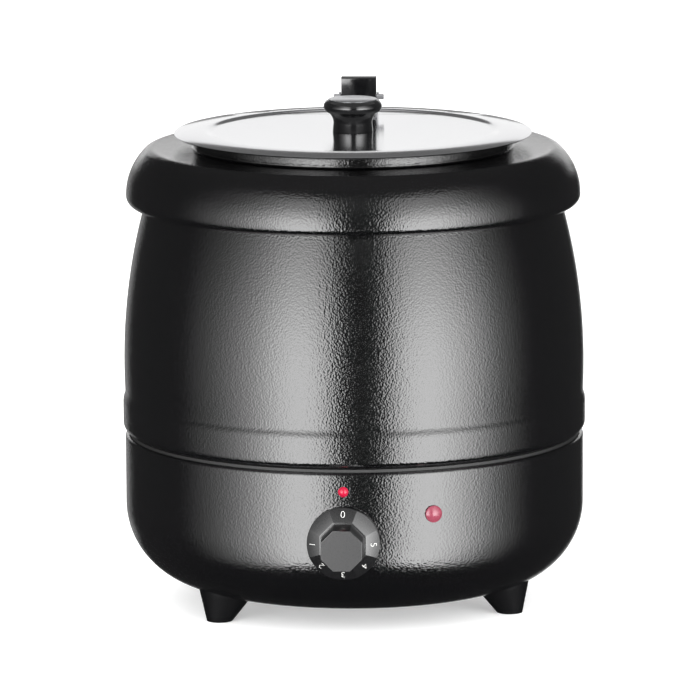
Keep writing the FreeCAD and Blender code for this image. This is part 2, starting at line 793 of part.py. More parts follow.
def element_path():
    """The heater's centre line: a leg up, an elbow, most of a ring, an elbow and a leg down."""
    level = plain(well_floor - element_tube)
    reach = plain(element_ring)
    elbow = plain(element_elbow)
    leg = plain(element_leg)
    half = math.radians(ELEMENT_SWEEP / 2)
    sides = []
    for sign in (-1, 1):
        end = Vector(sign * reach * math.sin(half), -reach * math.cos(half), level)
        along = Vector(sign * math.cos(half), math.sin(half), 0)
        centre = end - Z_AXIS * elbow
        foot = centre + along * elbow
        middle = centre + (along + Z_AXIS).normalize() * elbow
        sides.append((end, middle, foot, foot - Z_AXIS * leg))
    left, right = sides
    edges = [
        Part.LineSegment(left[3], left[2]).toShape(),
        Part.Arc(left[2], left[1], left[0]).toShape(),
        Part.Arc(left[0], Vector(0, -reach, level), right[0]).toShape(),
        Part.Arc(right[0], right[1], right[2]).toShape(),
        Part.LineSegment(right[2], right[3]).toShape(),
    ]
    return Part.Wire(edges), (left[3], right[3])


def swept(name, wire, start, along, radius):
    """A round tube along a wire."""
    section = Part.Wire(Part.Circle(start, along, plain(radius)).toShape())
    tube = doc.addObject("Part::Feature", name)
    tube.Shape = wire.makePipeShell([section], True, False)
    return tube


def make_heater():
    """The ring element, its clamp plate, the well's stud, the nuts and the heat shield."""
    wire, legs = element_path()
    keep(swept("heating_element_tube", wire, legs[0], Z_AXIS, element_tube), "heating_element")
    leg_places = [Placement(Vector(leg.x, leg.y, 0), UPRIGHT) for leg in legs]
    plate = ring("element_clamp_ring", stud_radius + hole_clearance, element_ring + clamp_margin,
                 clamp_under, clamp_under + clamp_thickness)
    keep(drilled("element_clamp_cut", plate, element_hole, well_floor, leg_places), "element_clamp")
    top = on_axis(well_floor - stud_length)
    keep(cylinder("well_stud_bar", stud_radius, stud_length, top), "well_stud")
    bore = stud_radius + running_gap
    upper = nut("clamp_nut", nut_flats, bore, nut_height, on_axis(clamp_under - nut_height))
    lower = nut("shield_nut", nut_flats, bore, nut_height, on_axis(shield_under - nut_height))
    keep(grouped("stud_nut_group", [upper, lower]), "stud_nuts")
    shield_radius = element_ring + shield_margin
    shield = turned("heat_shield_dish", [
        (stud_radius + hole_clearance, shield_under),
        (shield_radius - well_wall, shield_under),
        (shield_radius - well_wall, shield_under - shield_lip),
        (shield_radius, shield_under - shield_lip),
        (shield_radius, shield_under + well_wall),
        (stud_radius + hole_clearance, shield_under + well_wall),
    ])
    keep(drilled("heat_shield_cut", shield, element_hole, well_floor, leg_places), "heat_shield")


def make_lid():
    """The dished lid, split across its back into a fixed segment and a hinged flap."""
    bend = (lid_step_width * lid_step_width + lid_step_rise * lid_step_rise) / (lid_step_rise * 4)
    middle = lid_disc + lid_step_width / 2
    outer = lid_disc + lid_step_width

    def face(level):
        half = level + lid_step_rise / 2
        return level, half, level + lid_step_rise

    low, low_half, low_land = face(lid_base)
    high, high_half, high_land = face(lid_top)
    disc = turned("lid_blank", [
        (NOTHING, low),
        (lid_disc, low, bend),
        (middle, low_half, -bend),
        (outer, low_land),
        (land_end, low_land),
        (lid_radius, low_land - lid_edge_drop),
        (lid_radius, high_land - lid_edge_drop),
        (land_end, high_land),
        (outer, high_land, bend),
        (middle, high_half, -bend),
        (lid_disc, high),
        (NOTHING, high),
    ])
    span = lid_radius * 4
    front = split_chord - split_gap / 2
    back = split_chord + split_gap / 2
    flap_side = block("flap_side", span, span, span,
                      Placement(Vector(-plain(span) / 2, plain(front - span), 0), UPRIGHT))
    rear_side = block("rear_side", span, span, span,
                      Placement(Vector(-plain(span) / 2, plain(back), 0), UPRIGHT))
    low_place = sunk(on_axis(lid_base), lid_wall)
    deep = lid_wall * 3
    flap = common("flap_blank", disc, flap_side)
    drills = [cylinder("knob_screw_opening", knob_screw + hole_clearance, deep, low_place)]
    for index, place in enumerate(rivet_places(lid_base - lid_wall)):
        drills.append(cylinder(f"rivet_opening_{index}", rivet_radius + running_gap, deep, place))
    keep(cut("flap_cut", flap, *drills), "lid_flap")
    rear = common("rear_blank", disc, rear_side)
    places = block_screw_places(lid_base - lid_wall)
    keep(drilled("rear_cut", rear, block_screw + hole_clearance, deep, places), "lid_rear_segment")


def rivet_places(rise):
    """The bracket's two rivets, side by side on the flap."""
    setback = block_front - bracket_back - bracket_length / 2
    return [Placement(Vector(plain(rivet_pitch) * side, plain(setback), plain(rise)), UPRIGHT)
            for side in (-0.5, 0.5)]


def block_screw_places(rise):
    """The hinge block's two screws, under the rear segment."""
    return [Placement(Vector(plain(block_screw_pitch) * side, plain(hinge_setback), plain(rise)), UPRIGHT)
            for side in (-0.5, 0.5)]


def make_hinge():
    """The block on the rear segment, its pin and screws, and the eared bracket on the flap."""
    half = block_depth / 2
    brick = padded("hinge_block_brick", "YZ_Plane", [
        (hinge_setback - half, lid_top),
        (hinge_setback + half, lid_top),
        (hinge_setback + half, lid_top + block_height - block_round, block_round),
        (hinge_setback + half - block_round, lid_top + block_height),
        (hinge_setback - half + block_round, lid_top + block_height, block_round),
        (hinge_setback - half, lid_top + block_height - block_round),
    ], block_width)
    pin_turn = Rotation(Vector(0, 1, 0), QUARTER_TURN)
    pin_end = Vector(-plain(pin_length) / 2, plain(hinge_setback), plain(hinge_height))
    pin_place = Placement(pin_end, pin_turn)
    drills = [cylinder("block_pin_bore", pin_radius + running_gap, pin_length, pin_place)]
    for index, place in enumerate(block_screw_places(lid_base)):
        drills.append(cylinder(f"block_screw_bore_{index}", block_screw + running_gap,
                               lid_wall + block_screw_depth, place))
    keep(cut("hinge_block_cut", brick, *drills), "hinge_block")
    keep(cylinder("hinge_pin_bar", pin_radius, pin_length, pin_place), "hinge_pin")
    screws = [screw(f"block_screw_{index}", block_screw_head, screw_head_height, block_screw,
                    lid_wall + block_screw_depth, place)
              for index, place in enumerate(block_screw_places(lid_base))]
    keep(grouped("block_screw_group", screws), "block_screws")

    ear_in = block_width / 2 + ear_gap
    ear_out = ear_in + ear_thickness
    plate_back = block_front - bracket_back
    plate_front = plate_back - bracket_length
    plate_top = lid_top + bracket_wall
    plate = block("bracket_plate", ear_out * 2, bracket_length, bracket_wall,
                  Placement(Vector(-plain(ear_out), plain(plate_front), plain(lid_top)), UPRIGHT))
    ears = [
        padded(f"bracket_ear_{index}", "YZ_Plane", [
            (plate_front, lid_top),
            (plate_back, lid_top),
            (plate_back, plate_top),
            (hinge_setback + ear_radius, hinge_height, ear_radius),
            (hinge_setback, hinge_height + ear_radius, ear_radius),
            (hinge_setback - ear_radius, hinge_height),
            (plate_front, plate_top),
        ], ear_thickness, Placement(Vector(side * plain(ear_in + ear_thickness / 2), 0, 0), UPRIGHT))
        for index, side in enumerate((-1, 1))
    ]
    drills = [cylinder("ear_pin_bore", pin_radius + running_gap, pin_length, pin_place)]
    for index, place in enumerate(rivet_places(lid_base)):
        drills.append(cylinder(f"bracket_rivet_bore_{index}", rivet_radius + running_gap,
                               lid_wall + bracket_wall * 2, place))
    keep(cut("hinge_bracket_cut", fused("hinge_bracket_fuse", plate, *ears), *drills), "hinge_bracket")
    rivets = []
    for index, place in enumerate(rivet_places(lid_base)):
        grip = lid_wall + bracket_wall
        tail = screw(f"rivet_{index}", rivet_head, rivet_height, rivet_radius, grip, place)
        top = cylinder(f"rivet_top_{index}", rivet_head, rivet_height, sunk(place, -grip))
        rivets.append(fused(f"rivet_whole_{index}", tail, top))
    keep(grouped("rivet_group", rivets), "bracket_rivets")


def make_lid_knob():
    """The waisted knob in the middle of the lid, its bright cap, and its screw and washer below."""
    blank = turned("lid_knob_blank", [
        (NOTHING, NOTHING),
        (knob_base, NOTHING),
        (knob_waist, knob_waist_at, -knob_waist_bend),
        (knob_lip_root, knob_lip_low, knob_lip_under),
        (knob_lip, knob_lip_at, knob_lip_over),
        (knob_top, knob_height),
        (NOTHING, knob_height),
    ], on_axis(lid_top))
    drill = knob_screw + running_gap
    keep(drilled("lid_knob_cut", blank, drill, knob_screw_depth, [on_axis(lid_top)]), "lid_knob")
    cap_place = on_axis(lid_top + knob_height)
    keep(cylinder("knob_cap_disc", knob_top - knob_cap_inset, knob_cap_thickness, cap_place), "knob_cap")
    low = lid_base - washer_thickness
    washer = ring("knob_washer_ring", knob_screw + hole_clearance, washer_radius, low, lid_base)
    keep(washer, "knob_washer")
    length = washer_thickness + lid_wall + knob_screw_depth
    keep(screw("knob_screw_whole", knob_screw_head, screw_head_height, knob_screw, length,
               on_axis(low)), "knob_screw")


def octagon(name, flats, rise):
    """An eight-sided section with flats at the top and sides, at a height along the control's axis."""
    section = doc.addObject("Part::RegularPolygon", name)
    section.Polygon = 8
    bind(section, Circumradius=flats / (2 * math.cos(math.pi / 8)))
    section.Placement = Placement(Vector(0, 0, plain(rise)), Rotation(Z_AXIS, 22.5))
    return section


def lofted(name, sections):
    """A straight-sided solid through sections."""
    loft = doc.addObject("Part::Loft", name)
    loft.Sections = sections
    loft.Solid = True
    loft.Ruled = True
    return loft


def make_control():
    """The thermostat's dial knob: a faceted skirt cut round, an eight-sided grip, and its spindle."""
    rim_flats = skirt_radius * 2 + hole_clearance
    skirt = lofted("skirt_form", [
        octagon("skirt_foot", rim_flats, NOTHING),
        octagon("skirt_edge_top", rim_flats, skirt_edge),
        octagon("skirt_top", skirt_waist, skirt_height),
    ])
    round_rim = cylinder("skirt_round", skirt_radius, grip_length)
    grip = lofted("grip_form", [
        octagon("grip_foot", grip_flats, skirt_height - skirt_edge),
        octagon("grip_face", grip_flats - grip_taper, grip_length),
    ])
    solid = fused("control_solid", common("skirt_cut", skirt, round_rim), grip)
    hollow = cut("skirt_hollow", cylinder("skirt_hollow_bar", skirt_radius - skirt_wall, skirt_recess),
                 cylinder("skirt_hub", hub_radius, skirt_recess))
    bore = cylinder("spindle_bore", spindle_radius + running_gap, spindle_grip)
    knob = cut("control_cut", solid, hollow, bore)
    knob.Placement = sunk(control_place, -skirt_gap)
    keep(knob, "control_knob")
    length = spindle_grip + skirt_gap + saddle_depth + spindle_tail
    low = sunk(control_place, saddle_depth + spindle_tail)
    keep(cylinder("spindle_bar", spindle_radius, length, low), "thermostat_spindle")


def make_thermostat():
    """The thermostat on a saddle that follows the bowl's inside, with its screws, capillary and bulb."""
    core = turned("bowl_core", bowl_outline(shell_wall + saddle_gap))
    saddle_place = Placement(Vector(-plain(saddle_width) / 2, -plain(bowl_radius),
                                    plain(control_height - saddle_height / 2)), UPRIGHT)
    brick = block("saddle_brick", saddle_width, saddle_depth, saddle_height, saddle_place)
    shaped = common("saddle_shaped", brick, core)
    depth = saddle_depth * 2
    drills = [cylinder("saddle_spindle", spindle_hole, depth, sunk(control_place, depth))]
    for index, place in enumerate(thermostat_screw_places):
        drills.append(cylinder(f"saddle_screw_{index}", thermostat_screw + hole_clearance, depth,
                               sunk(place, depth)))
    keep(cut("saddle_cut", shaped, *drills), "thermostat_saddle")

    half = thermostat_width / 2
    front = saddle_depth - bowl_radius
    brick = padded("thermostat_brick", "YZ_Plane", [
        (front, control_height - half),
        (front + thermostat_depth - thermostat_round, control_height - half, thermostat_round),
        (front + thermostat_depth, control_height - half + thermostat_round),
        (front + thermostat_depth, control_height + half - thermostat_round, thermostat_round),
        (front + thermostat_depth - thermostat_round, control_height + half),
        (front, control_height + half),
    ], thermostat_width)
    bore_start = sunk(control_place, saddle_depth + spindle_tail + hole_clearance)
    drills = [cylinder("thermostat_spindle_bore", spindle_radius + running_gap,
                       spindle_tail + hole_clearance + spindle_hole, bore_start)]
    bite = saddle_depth + thermostat_screw_bite
    for index, place in enumerate(thermostat_screw_places):
        drills.append(cylinder(f"thermostat_screw_bore_{index}", thermostat_screw + running_gap, bite,
                               sunk(place, bite)))
    keep(cut("thermostat_cut", brick, *drills), "thermostat_body")

    flip = Placement(Vector(), Rotation(X_AXIS, 180.0))
    screws = []
    for index, place in enumerate(thermostat_screw_places):
        start = place.multiply(flip)
        screws.append(screw(f"thermostat_screw_{index}", thermostat_screw_head, screw_head_height,
                            thermostat_screw, bite, start))
    keep(grouped("thermostat_screw_group", screws), "thermostat_screws")

    bulb_foot = around(well_radius + bulb_radius, BULB_BEARING, well_floor + bulb_rise)
    keep(cylinder("sensor_bulb_bar", bulb_radius, bulb_length, bulb_foot), "sensor_bulb")
    start = Vector(-plain(half) / 2, plain(front + thermostat_depth), plain(control_height))
    turn_point = start + Vector(0, plain(capillary_lead), 0)
    under_bulb = Vector(bulb_foot.Base.x, bulb_foot.Base.y, start.z)
    wire = bent_wire([start, turn_point, under_bulb, bulb_foot.Base], plain(capillary_bend))
    keep(swept("capillary_line", wire, start, Vector(0, 1, 0), capillary_radius), "capillary_tube")


def bent_wire(points, radius):
    """Straight runs through points, joined by tangent arcs of one radius."""
    edges = []
    last = points[0]
    for before, corner, after in zip(points, points[1:], points[2:]):
        back = (before - corner).normalize()
        ahead = (after - corner).normalize()
        half = back.getAngle(ahead) / 2
        set_back = radius / math.tan(half)
        centre = corner + (back + ahead).normalize() * (radius / math.sin(half))
        enter = corner + back * set_back
        leave = corner + ahead * set_back
        middle = centre + (corner - centre).normalize() * radius
        edges.append(Part.LineSegment(last, enter).toShape())
        edges.append(Part.Arc(enter, middle, leave).toShape())
        last = leave
    edges.append(Part.LineSegment(last, points[-1]).toShape())
    return Part.Wire(edges)


def domed(name, rim, edge, dome, shank, length, place):
    """A button: a shank through the wall, a short rim and a domed face."""
    bend = (rim * rim + dome * dome) / (dome * 2)
    return turned(name, [
        (NOTHING, -length),
        (shank, -length),
        (shank, NOTHING),
        (rim, NOTHING),
        (rim, edge, bend),
        (NOTHING, edge + dome),
    ], place)


def make_indicators():
    """The pilot lamp's lens and body, and the red index stud over the dial."""
    lens = domed("pilot_lens_body", lamp_flange, lamp_flange_edge, lamp_dome, lamp_shank,
                 lamp_shank_length, lamp_place)
    keep(lens, "pilot_lens")
    outer = lamp_shank + lamp_body_wall
    top = shell_wall + lamp_body_gap
    base = lamp_shank_length + lamp_body_gap
    keep(turned("pilot_lamp_cup", [
        (NOTHING, -lamp_body_length),
        (outer, -lamp_body_length),
        (outer, -top),
        (lamp_shank + running_gap, -top),
        (lamp_shank + running_gap, -base),
        (NOTHING, -base),
    ], lamp_place), "pilot_lamp")
    stud = domed("index_stud_body", index_radius, index_edge, index_dome, index_shank,
                 index_shank_length, index_place)
    keep(stud, "index_stud")


def make_gland():
    """The cord's entry: a threaded bush through the wall, its domed cap and the nut inside."""
    bore = gland_bore
    base_hex = hexagon("gland_hex", gland_flats, gland_base, gland_place)
    rear = sunk(gland_place, gland_inside)
    stem_length = gland_inside + gland_base + gland_cap_bore
    stem = cylinder("gland_stem", gland_thread, stem_length, rear)
    bush = fused("gland_bush", base_hex, stem)
    keep(cut("gland_body_cut", bush, cylinder("gland_body_bore", bore, stem_length, rear)), "gland_body")

    cap_length = gland_length - gland_base
    cap_place = sunk(gland_place, -gland_base)
    hexed = hexagon("gland_cap_hex", gland_flats, cap_length - gland_tip, cap_place)
    flank = gland_flats / 2
    dome = turned("gland_cap_dome", [
        (bore, NOTHING),
        (flank, NOTHING),
        (flank, cap_length - gland_tip),
        (gland_tip_radius, cap_length),
        (bore, cap_length),
    ], cap_place)
    cap = fused("gland_cap_solid", hexed, dome)
    through = cylinder("gland_cap_through", bore, cap_length, cap_place)
    thread = cylinder("gland_cap_thread", gland_thread + running_gap, gland_cap_bore, cap_place)
    keep(cut("gland_cap_cut", cap, through, thread), "gland_cap")
    lock_place = sunk(gland_place, shell_wall + gland_nut_gap + gland_nut)
    keep(nut("gland_lock", gland_flats, gland_thread + running_gap, gland_nut, lock_place), "gland_locknut")


def make_underside():
    """The vented bottom cover with its screws, and the terminal block that stands on it."""
    radius = bottom_opening + cover_overlap
    disc = ring("bottom_cover_disc", NOTHING, radius, cover_low, bowl_floor)
    tools = [cylinder(f"cover_drill_{index}", cover_screw + hole_clearance, cover_wall, place)
             for index, place in enumerate(cover_places)]
    for index, bearing in enumerate(spread(COVER_VENTS, 0.0)):
        start = around(vent_radius, bearing, cover_low)
        corner = start.multiply(Placement(Vector(-plain(vent_width) / 2, -plain(vent_length), 0), UPRIGHT))
        tools.append(block(f"cover_vent_{index}", vent_width, vent_length, cover_wall, corner))
    keep(cut("bottom_cover_cut", disc, *tools), "bottom_cover")
    screws = [screw(f"cover_screw_{index}", cover_screw_head, screw_head_height, cover_screw,
                    cover_screw_length, place) for index, place in enumerate(cover_places)]
    keep(grouped("cover_screw_group", screws), "cover_screws")
    corner = Vector(-plain(terminal_length) / 2, -plain(terminal_width) / 2, plain(bowl_floor))
    body = block("terminal_brick", terminal_length, terminal_width, terminal_height,
                 Placement(corner, UPRIGHT))
    ways = []
    for index, step in enumerate((-1, 0, 1)):
        spot = Vector(step * plain(terminal_length) / 3, 0, plain(bowl_floor + terminal_height / 2))
        ways.append(cylinder(f"terminal_way_{index}", terminal_way, terminal_height,
                             Placement(spot, UPRIGHT)))
    keep(cut("terminal_cut", body, *ways), "terminal_block")


def make_feet():
    """Three tapered feet that lean out under the bowl, with their bolts and nuts."""
    mass = turned("bowl_mass", bowl_outline(NOTHING))
    bolts = []
    nuts = []
    for name, bearing in foot_bearings.items():
        sole = doc.addObject("Part::Circle", f"{name}_sole")
        bind(sole, Radius=foot_sole)
        sole.Placement = around(foot_circle, bearing, NOTHING)
        crown = doc.addObject("Part::Circle", f"{name}_crown")
        bind(crown, Radius=foot_top)
        crown.Placement = around(foot_circle - foot_lean, bearing, foot_crown)
        cone = lofted(f"{name}_cone", [sole, crown])
        seat = foot_bolt_places[name]
        hole = cylinder(f"{name}_bolt_hole", foot_bolt + running_gap, foot_bolt_bite * 2,
                        sunk(seat, foot_bolt_bite))
        keep(cut(f"{name}_cut", cone, mass, hole), name)
        length = foot_bolt_bite + shell_wall + foot_bolt_stand
        bolts.append(cylinder(f"{name}_bolt", foot_bolt, length, sunk(seat, foot_bolt_bite)))
        top = sunk(seat, -(shell_wall + foot_nut_gap))
        nuts.append(nut(f"{name}_nut", foot_nut_flats, foot_bolt + running_gap, foot_nut_height, top))
    keep(grouped("foot_bolt_group", bolts), "foot_bolts")
    keep(grouped("foot_nut_group", nuts), "foot_nuts")


def check_and_write():
    """Stop on anything that failed to build, then write one file per sub-part."""
    doc.recompute()
    broken = [thing.Name for thing in doc.Objects if {"Invalid", "Error"} & set(thing.State)]
    broken += [node.Label for node in nodes if node.Shape.isNull() or not node.Shape.isValid()]
    if broken:
        raise RuntimeError(f"these did not build: {broken}")
    os.makedirs("parts", exist_ok=True)
    for node in nodes:
        node.Shape.exportStep(f"parts/{node.Label}.step")
        print(node.Label, len(node.Shape.Solids), round(node.Shape.Volume, 1))


make_base_bowl()
make_barrel()
make_collar()
make_seam()
make_collar_fixings()
make_well()
make_pot()
make_heater()
make_lid()
make_hinge()
make_lid_knob()
make_control()
make_thermostat()
make_indicators()
make_gland()
make_underside()
make_feet()
check_and_write()
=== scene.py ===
"""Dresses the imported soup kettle: painted jacket, steel pot and lid, dial, lamp, feet, floor, light and camera.

Sizes in the classes are millimetres, as in the part's source. A bearing is counted from the dial towards +X.
"""

import json
import logging
import math
from dataclasses import dataclass
from enum import Enum
from typing import Any, Iterable, Sequence

import bmesh
import bpy
from mathutils import Matrix, Vector

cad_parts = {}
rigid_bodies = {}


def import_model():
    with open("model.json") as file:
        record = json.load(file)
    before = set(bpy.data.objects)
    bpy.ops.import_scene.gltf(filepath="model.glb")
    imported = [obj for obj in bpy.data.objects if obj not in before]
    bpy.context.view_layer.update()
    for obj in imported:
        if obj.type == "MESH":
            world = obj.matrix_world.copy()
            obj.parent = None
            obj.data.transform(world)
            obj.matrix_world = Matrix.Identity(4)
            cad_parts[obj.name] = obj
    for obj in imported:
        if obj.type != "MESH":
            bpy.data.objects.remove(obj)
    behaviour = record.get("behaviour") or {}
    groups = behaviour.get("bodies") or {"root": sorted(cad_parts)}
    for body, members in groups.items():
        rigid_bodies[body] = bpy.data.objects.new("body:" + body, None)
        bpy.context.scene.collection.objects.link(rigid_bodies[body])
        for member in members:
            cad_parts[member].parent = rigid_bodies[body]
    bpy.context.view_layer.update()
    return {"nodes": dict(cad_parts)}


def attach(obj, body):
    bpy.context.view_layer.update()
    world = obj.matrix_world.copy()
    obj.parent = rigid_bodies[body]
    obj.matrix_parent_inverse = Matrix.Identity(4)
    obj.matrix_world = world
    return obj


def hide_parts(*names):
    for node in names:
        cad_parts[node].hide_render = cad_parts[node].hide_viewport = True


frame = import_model()

LOG = logging.getLogger("soup_kettle")
MM = 0.001
# Steps round a shell, a small piece and a screw
FINE_TURN = 256
SMALL_TURN = 96
SCREW_TURN = 32
# Bends: the sharpest shaded smooth, the gentlest rounded, both on facets, and what counts as flat
SMOOTH_ANGLE = math.radians(32.0)
CREASE_ANGLE = math.radians(25.0)
FACET_ANGLE = math.radians(14.0)
FLAT_ANGLE = math.radians(0.6)
# An arc's longest step in angle and in millimetres, and its fewest steps
ARC_STEP = math.radians(4.0)
ARC_LENGTH = 6.0
ARC_LEAST = 4
# The share of a side that a rounded corner may use up
CORNER_SHARE = 0.45
BEVEL_STEPS = 3
# Metres: closer points are one point, and shorter edges are none
SAME_POINT = 1e-6
NO_LENGTH = 1e-7
# Where a grain has its dark and its full colour, and the least roughness
GRAIN_DARK = 0.3
GRAIN_FULL = 0.7
LEAST_ROUGHNESS = 0.02

Corner = Sequence[float]
Stops = Sequence[tuple[float, float]]
Mesh = bpy.types.Mesh
Thing = bpy.types.Object
Tree = bpy.types.NodeTree
Node = bpy.types.Node
Socket = bpy.types.NodeSocket


class Body(Enum):
    """The bodies that pieces ride on."""

    KETTLE = "kettle"
    POT = "pot"
    LID_BACK = "lid_back"
    LID_FRONT = "lid_front"
    CONTROL = "control"


def linear(code: str) -> tuple[float, float, float, float]:
    """Turn an sRGB hex value into a linear colour.

    Args:
        code: Six hex digits after a hash.

    Returns:
        Red, green, blue and a full alpha.
    """
    channels = [int(code[place:place + 2], 16) / 255.0 for place in (1, 3, 5)]
    light = [c / 12.92 if c <= 0.04045 else ((c + 0.055) / 1.055) ** 2.4 for c in channels]
    return (light[0], light[1], light[2], 1.0)


def add_node(tree: Tree, kind: str, feeds: dict[Any, Any] | None = None, **settings: Any) -> Node:
    """Add one node with its settings, its constants and its links.

    Args:
        tree: The tree to add to.
        kind: Blender's name for the node.
        feeds: For each input, its constant value, or the socket or node that feeds it.
        **settings: Attributes of the node.

    Returns:
        The new node.
    """
    node = tree.nodes.new(kind)
    for name, value in settings.items():
        setattr(node, name, value)
    feed(tree, node, feeds or {})
    return node


def feed(tree: Tree, node: Node, feeds: dict[Any, Any]) -> None:
    """Set or link a node's inputs; a node among the values stands for its first output."""
    for name, value in feeds.items():
        source = value.outputs[0] if isinstance(value, Node) else value
        if isinstance(source, Socket):
            tree.links.new(source, node.inputs[name])
        else:
            node.inputs[name].default_value = source


def grey_ramp(tree: Tree, place: Socket | Node, stops: Stops) -> Node:
    """Add a ramp of greys.

    Args:
        tree: The tree to add to.
        place: What runs along the ramp.
        stops: Places from 0 to 1 in order, each with its brightness.

    Returns:
        The ramp.
    """
    ramp = add_node(tree, "ShaderNodeValToRGB", {"Fac": place})
    elements = ramp.color_ramp.elements
    while len(elements) < len(stops):
        elements.new(1.0)
    for element, (position, level) in zip(elements, stops):
        element.position = position
        element.color = (level, level, level, 1.0)
    return ramp


def stand(name: str, data: bpy.types.ID) -> Thing:
    """Put an object with this data in the scene."""
    thing = bpy.data.objects.new(name, data)
    bpy.context.scene.collection.objects.link(thing)
    return thing


def plain_mesh(thing: Thing) -> Mesh:
    """Keep what an object's modifiers or curve make as a plain mesh, and remove the object."""
    depsgraph = bpy.context.evaluated_depsgraph_get()
    mesh = bpy.data.meshes.new_from_object(thing.evaluated_get(depsgraph), depsgraph=depsgraph)
    thing.modifiers.clear()
    bpy.data.objects.remove(thing)
    return mesh


def mesh_of(work: bmesh.types.BMesh, name: str) -> Mesh:
    """Turn the mesh that was worked on into mesh data, and free it."""
    mesh = bpy.data.meshes.new(name)
    work.to_mesh(mesh)
    work.free()
    return mesh


def smoothed(mesh: Mesh, bend: float = SMOOTH_ANGLE) -> Mesh:
    """Shade a mesh smooth where it bends less than this."""
    mesh.shade_smooth()
    mesh.set_sharp_from_angle(angle=bend)
    return mesh


@dataclass(frozen=True)
class Finish:
    """A finish with a fine grain: mottled colour, uneven gloss and a shallow bump."""

    name: str
    colour: str
    roughness: float
    metallic: float = 0.0
    grain_mm: float = 1.0
    bump_mm: float = 0.0
    gloss_spread: float = 0.05
    shade: float = 0.9
    shine: float = 0.5
    glow: float = 0.0
    ior: float = 1.5

    def material(self) -> bpy.types.Material:
        """Build the material once and hand out the same one afterwards."""
        known = bpy.data.materials.get(self.name)
        if known:
            return known
        material = bpy.data.materials.new(self.name)
        material.use_nodes = True
        tree = material.node_tree
        tree.nodes.clear()
        shader = add_node(tree, "ShaderNodeBsdfPrincipled", {
            "Base Color": linear(self.colour), "Metallic": self.metallic, "Roughness": self.roughness,
            "IOR": self.ior, "Specular IOR Level": self.shine, "Emission Color": linear(self.colour),
            "Emission Strength": self.glow})
        add_node(tree, "ShaderNodeOutputMaterial", {"Surface": shader})
        self.pattern(tree, shader, add_node(tree, "ShaderNodeTexCoord").outputs["Object"])
        return material

    def pattern(self, tree: Tree, shader: Node, place: Socket) -> None:
        """Lay an even grain over the shader, by object coordinates."""
        grain = self.noise(tree, place, self.grain_mm)
        self.lay(tree, shader, grain, grain)

    def noise(self, tree: Tree, place: Socket, size_mm: float) -> Node:
        """A noise whose blotches are about that many millimetres across."""
        return add_node(tree, "ShaderNodeTexNoise", {
            "Vector": place, "Scale": 1.0 / (size_mm * MM), "Detail": 2.0})

    def lay(self, tree: Tree, shader: Node, grain: Node, height: Node) -> None:
        """Let the colour and the gloss follow a grain, and the surface a height.

        Args:
            tree: The material's tree.
            shader: Its principled shader.
            grain: What the colour and the gloss follow.
            height: What the surface rises and falls with, by the finish's own depth.
        """
        full = linear(self.colour)
        ramp = add_node(tree, "ShaderNodeValToRGB", {"Fac": grain})
        low, high = ramp.color_ramp.elements
        low.position, high.position = GRAIN_DARK, GRAIN_FULL
        low.color = (full[0] * self.shade, full[1] * self.shade, full[2] * self.shade, 1.0)
        high.color = full
        gloss = add_node(tree, "ShaderNodeMapRange", {
            "Value": grain, "From Min": low.position, "From Max": high.position,
            "To Min": max(self.roughness - self.gloss_spread, LEAST_ROUGHNESS),
            "To Max": self.roughness + self.gloss_spread})
        feed(tree, shader, {"Base Color": ramp, "Roughness": gloss})
        if self.bump_mm > 0.0:
            feed(tree, shader, {"Normal": add_node(tree, "ShaderNodeBump", {
                "Height": height, "Distance": self.bump_mm * MM, "Strength": 1.0})})


@dataclass(frozen=True)
class HammerPaint(Finish):
    """Sprayed hammer paint: glossy, with the pebbled skin that breaks a highlight into grains."""

    swell: float = 0.4
    swell_width: float = 1.7

    def pattern(self, tree: Tree, shader: Node, place: Socket) -> None:
        """Pebbles from smooth cells, pushed about by a wider noise."""
        cells = add_node(tree, "ShaderNodeTexVoronoi", {
            "Vector": place, "Scale": 1.0 / (self.grain_mm * MM), "Smoothness": 1.0}, feature="SMOOTH_F1")
        swell = self.noise(tree, place, self.grain_mm * self.swell_width)
        height = add_node(tree, "ShaderNodeMath", {0: swell, 1: self.swell, 2: cells}, operation="MULTIPLY_ADD")
        self.lay(tree, shader, swell, height)


@dataclass(frozen=True)
class SpunSheet(Finish):
    """Sheet metal polished while it turned: fine rings round the kettle's axis."""

    def pattern(self, tree: Tree, shader: Node, place: Socket) -> None:
        """Rings from a noise that runs along the distance from the axis."""
        flat = add_node(tree, "ShaderNodeVectorMath", {0: place, 1: (1.0, 1.0, 0.0)}, operation="MULTIPLY")
        reach = add_node(tree, "ShaderNodeVectorMath", {0: flat}, operation="LENGTH").outputs["Value"]
        rings = add_node(tree, "ShaderNodeTexNoise", {
            "W": reach, "Scale": 1.0 / (self.grain_mm * MM), "Detail": 3.0}, noise_dimensions="1D")
        self.lay(tree, shader, rings, rings)


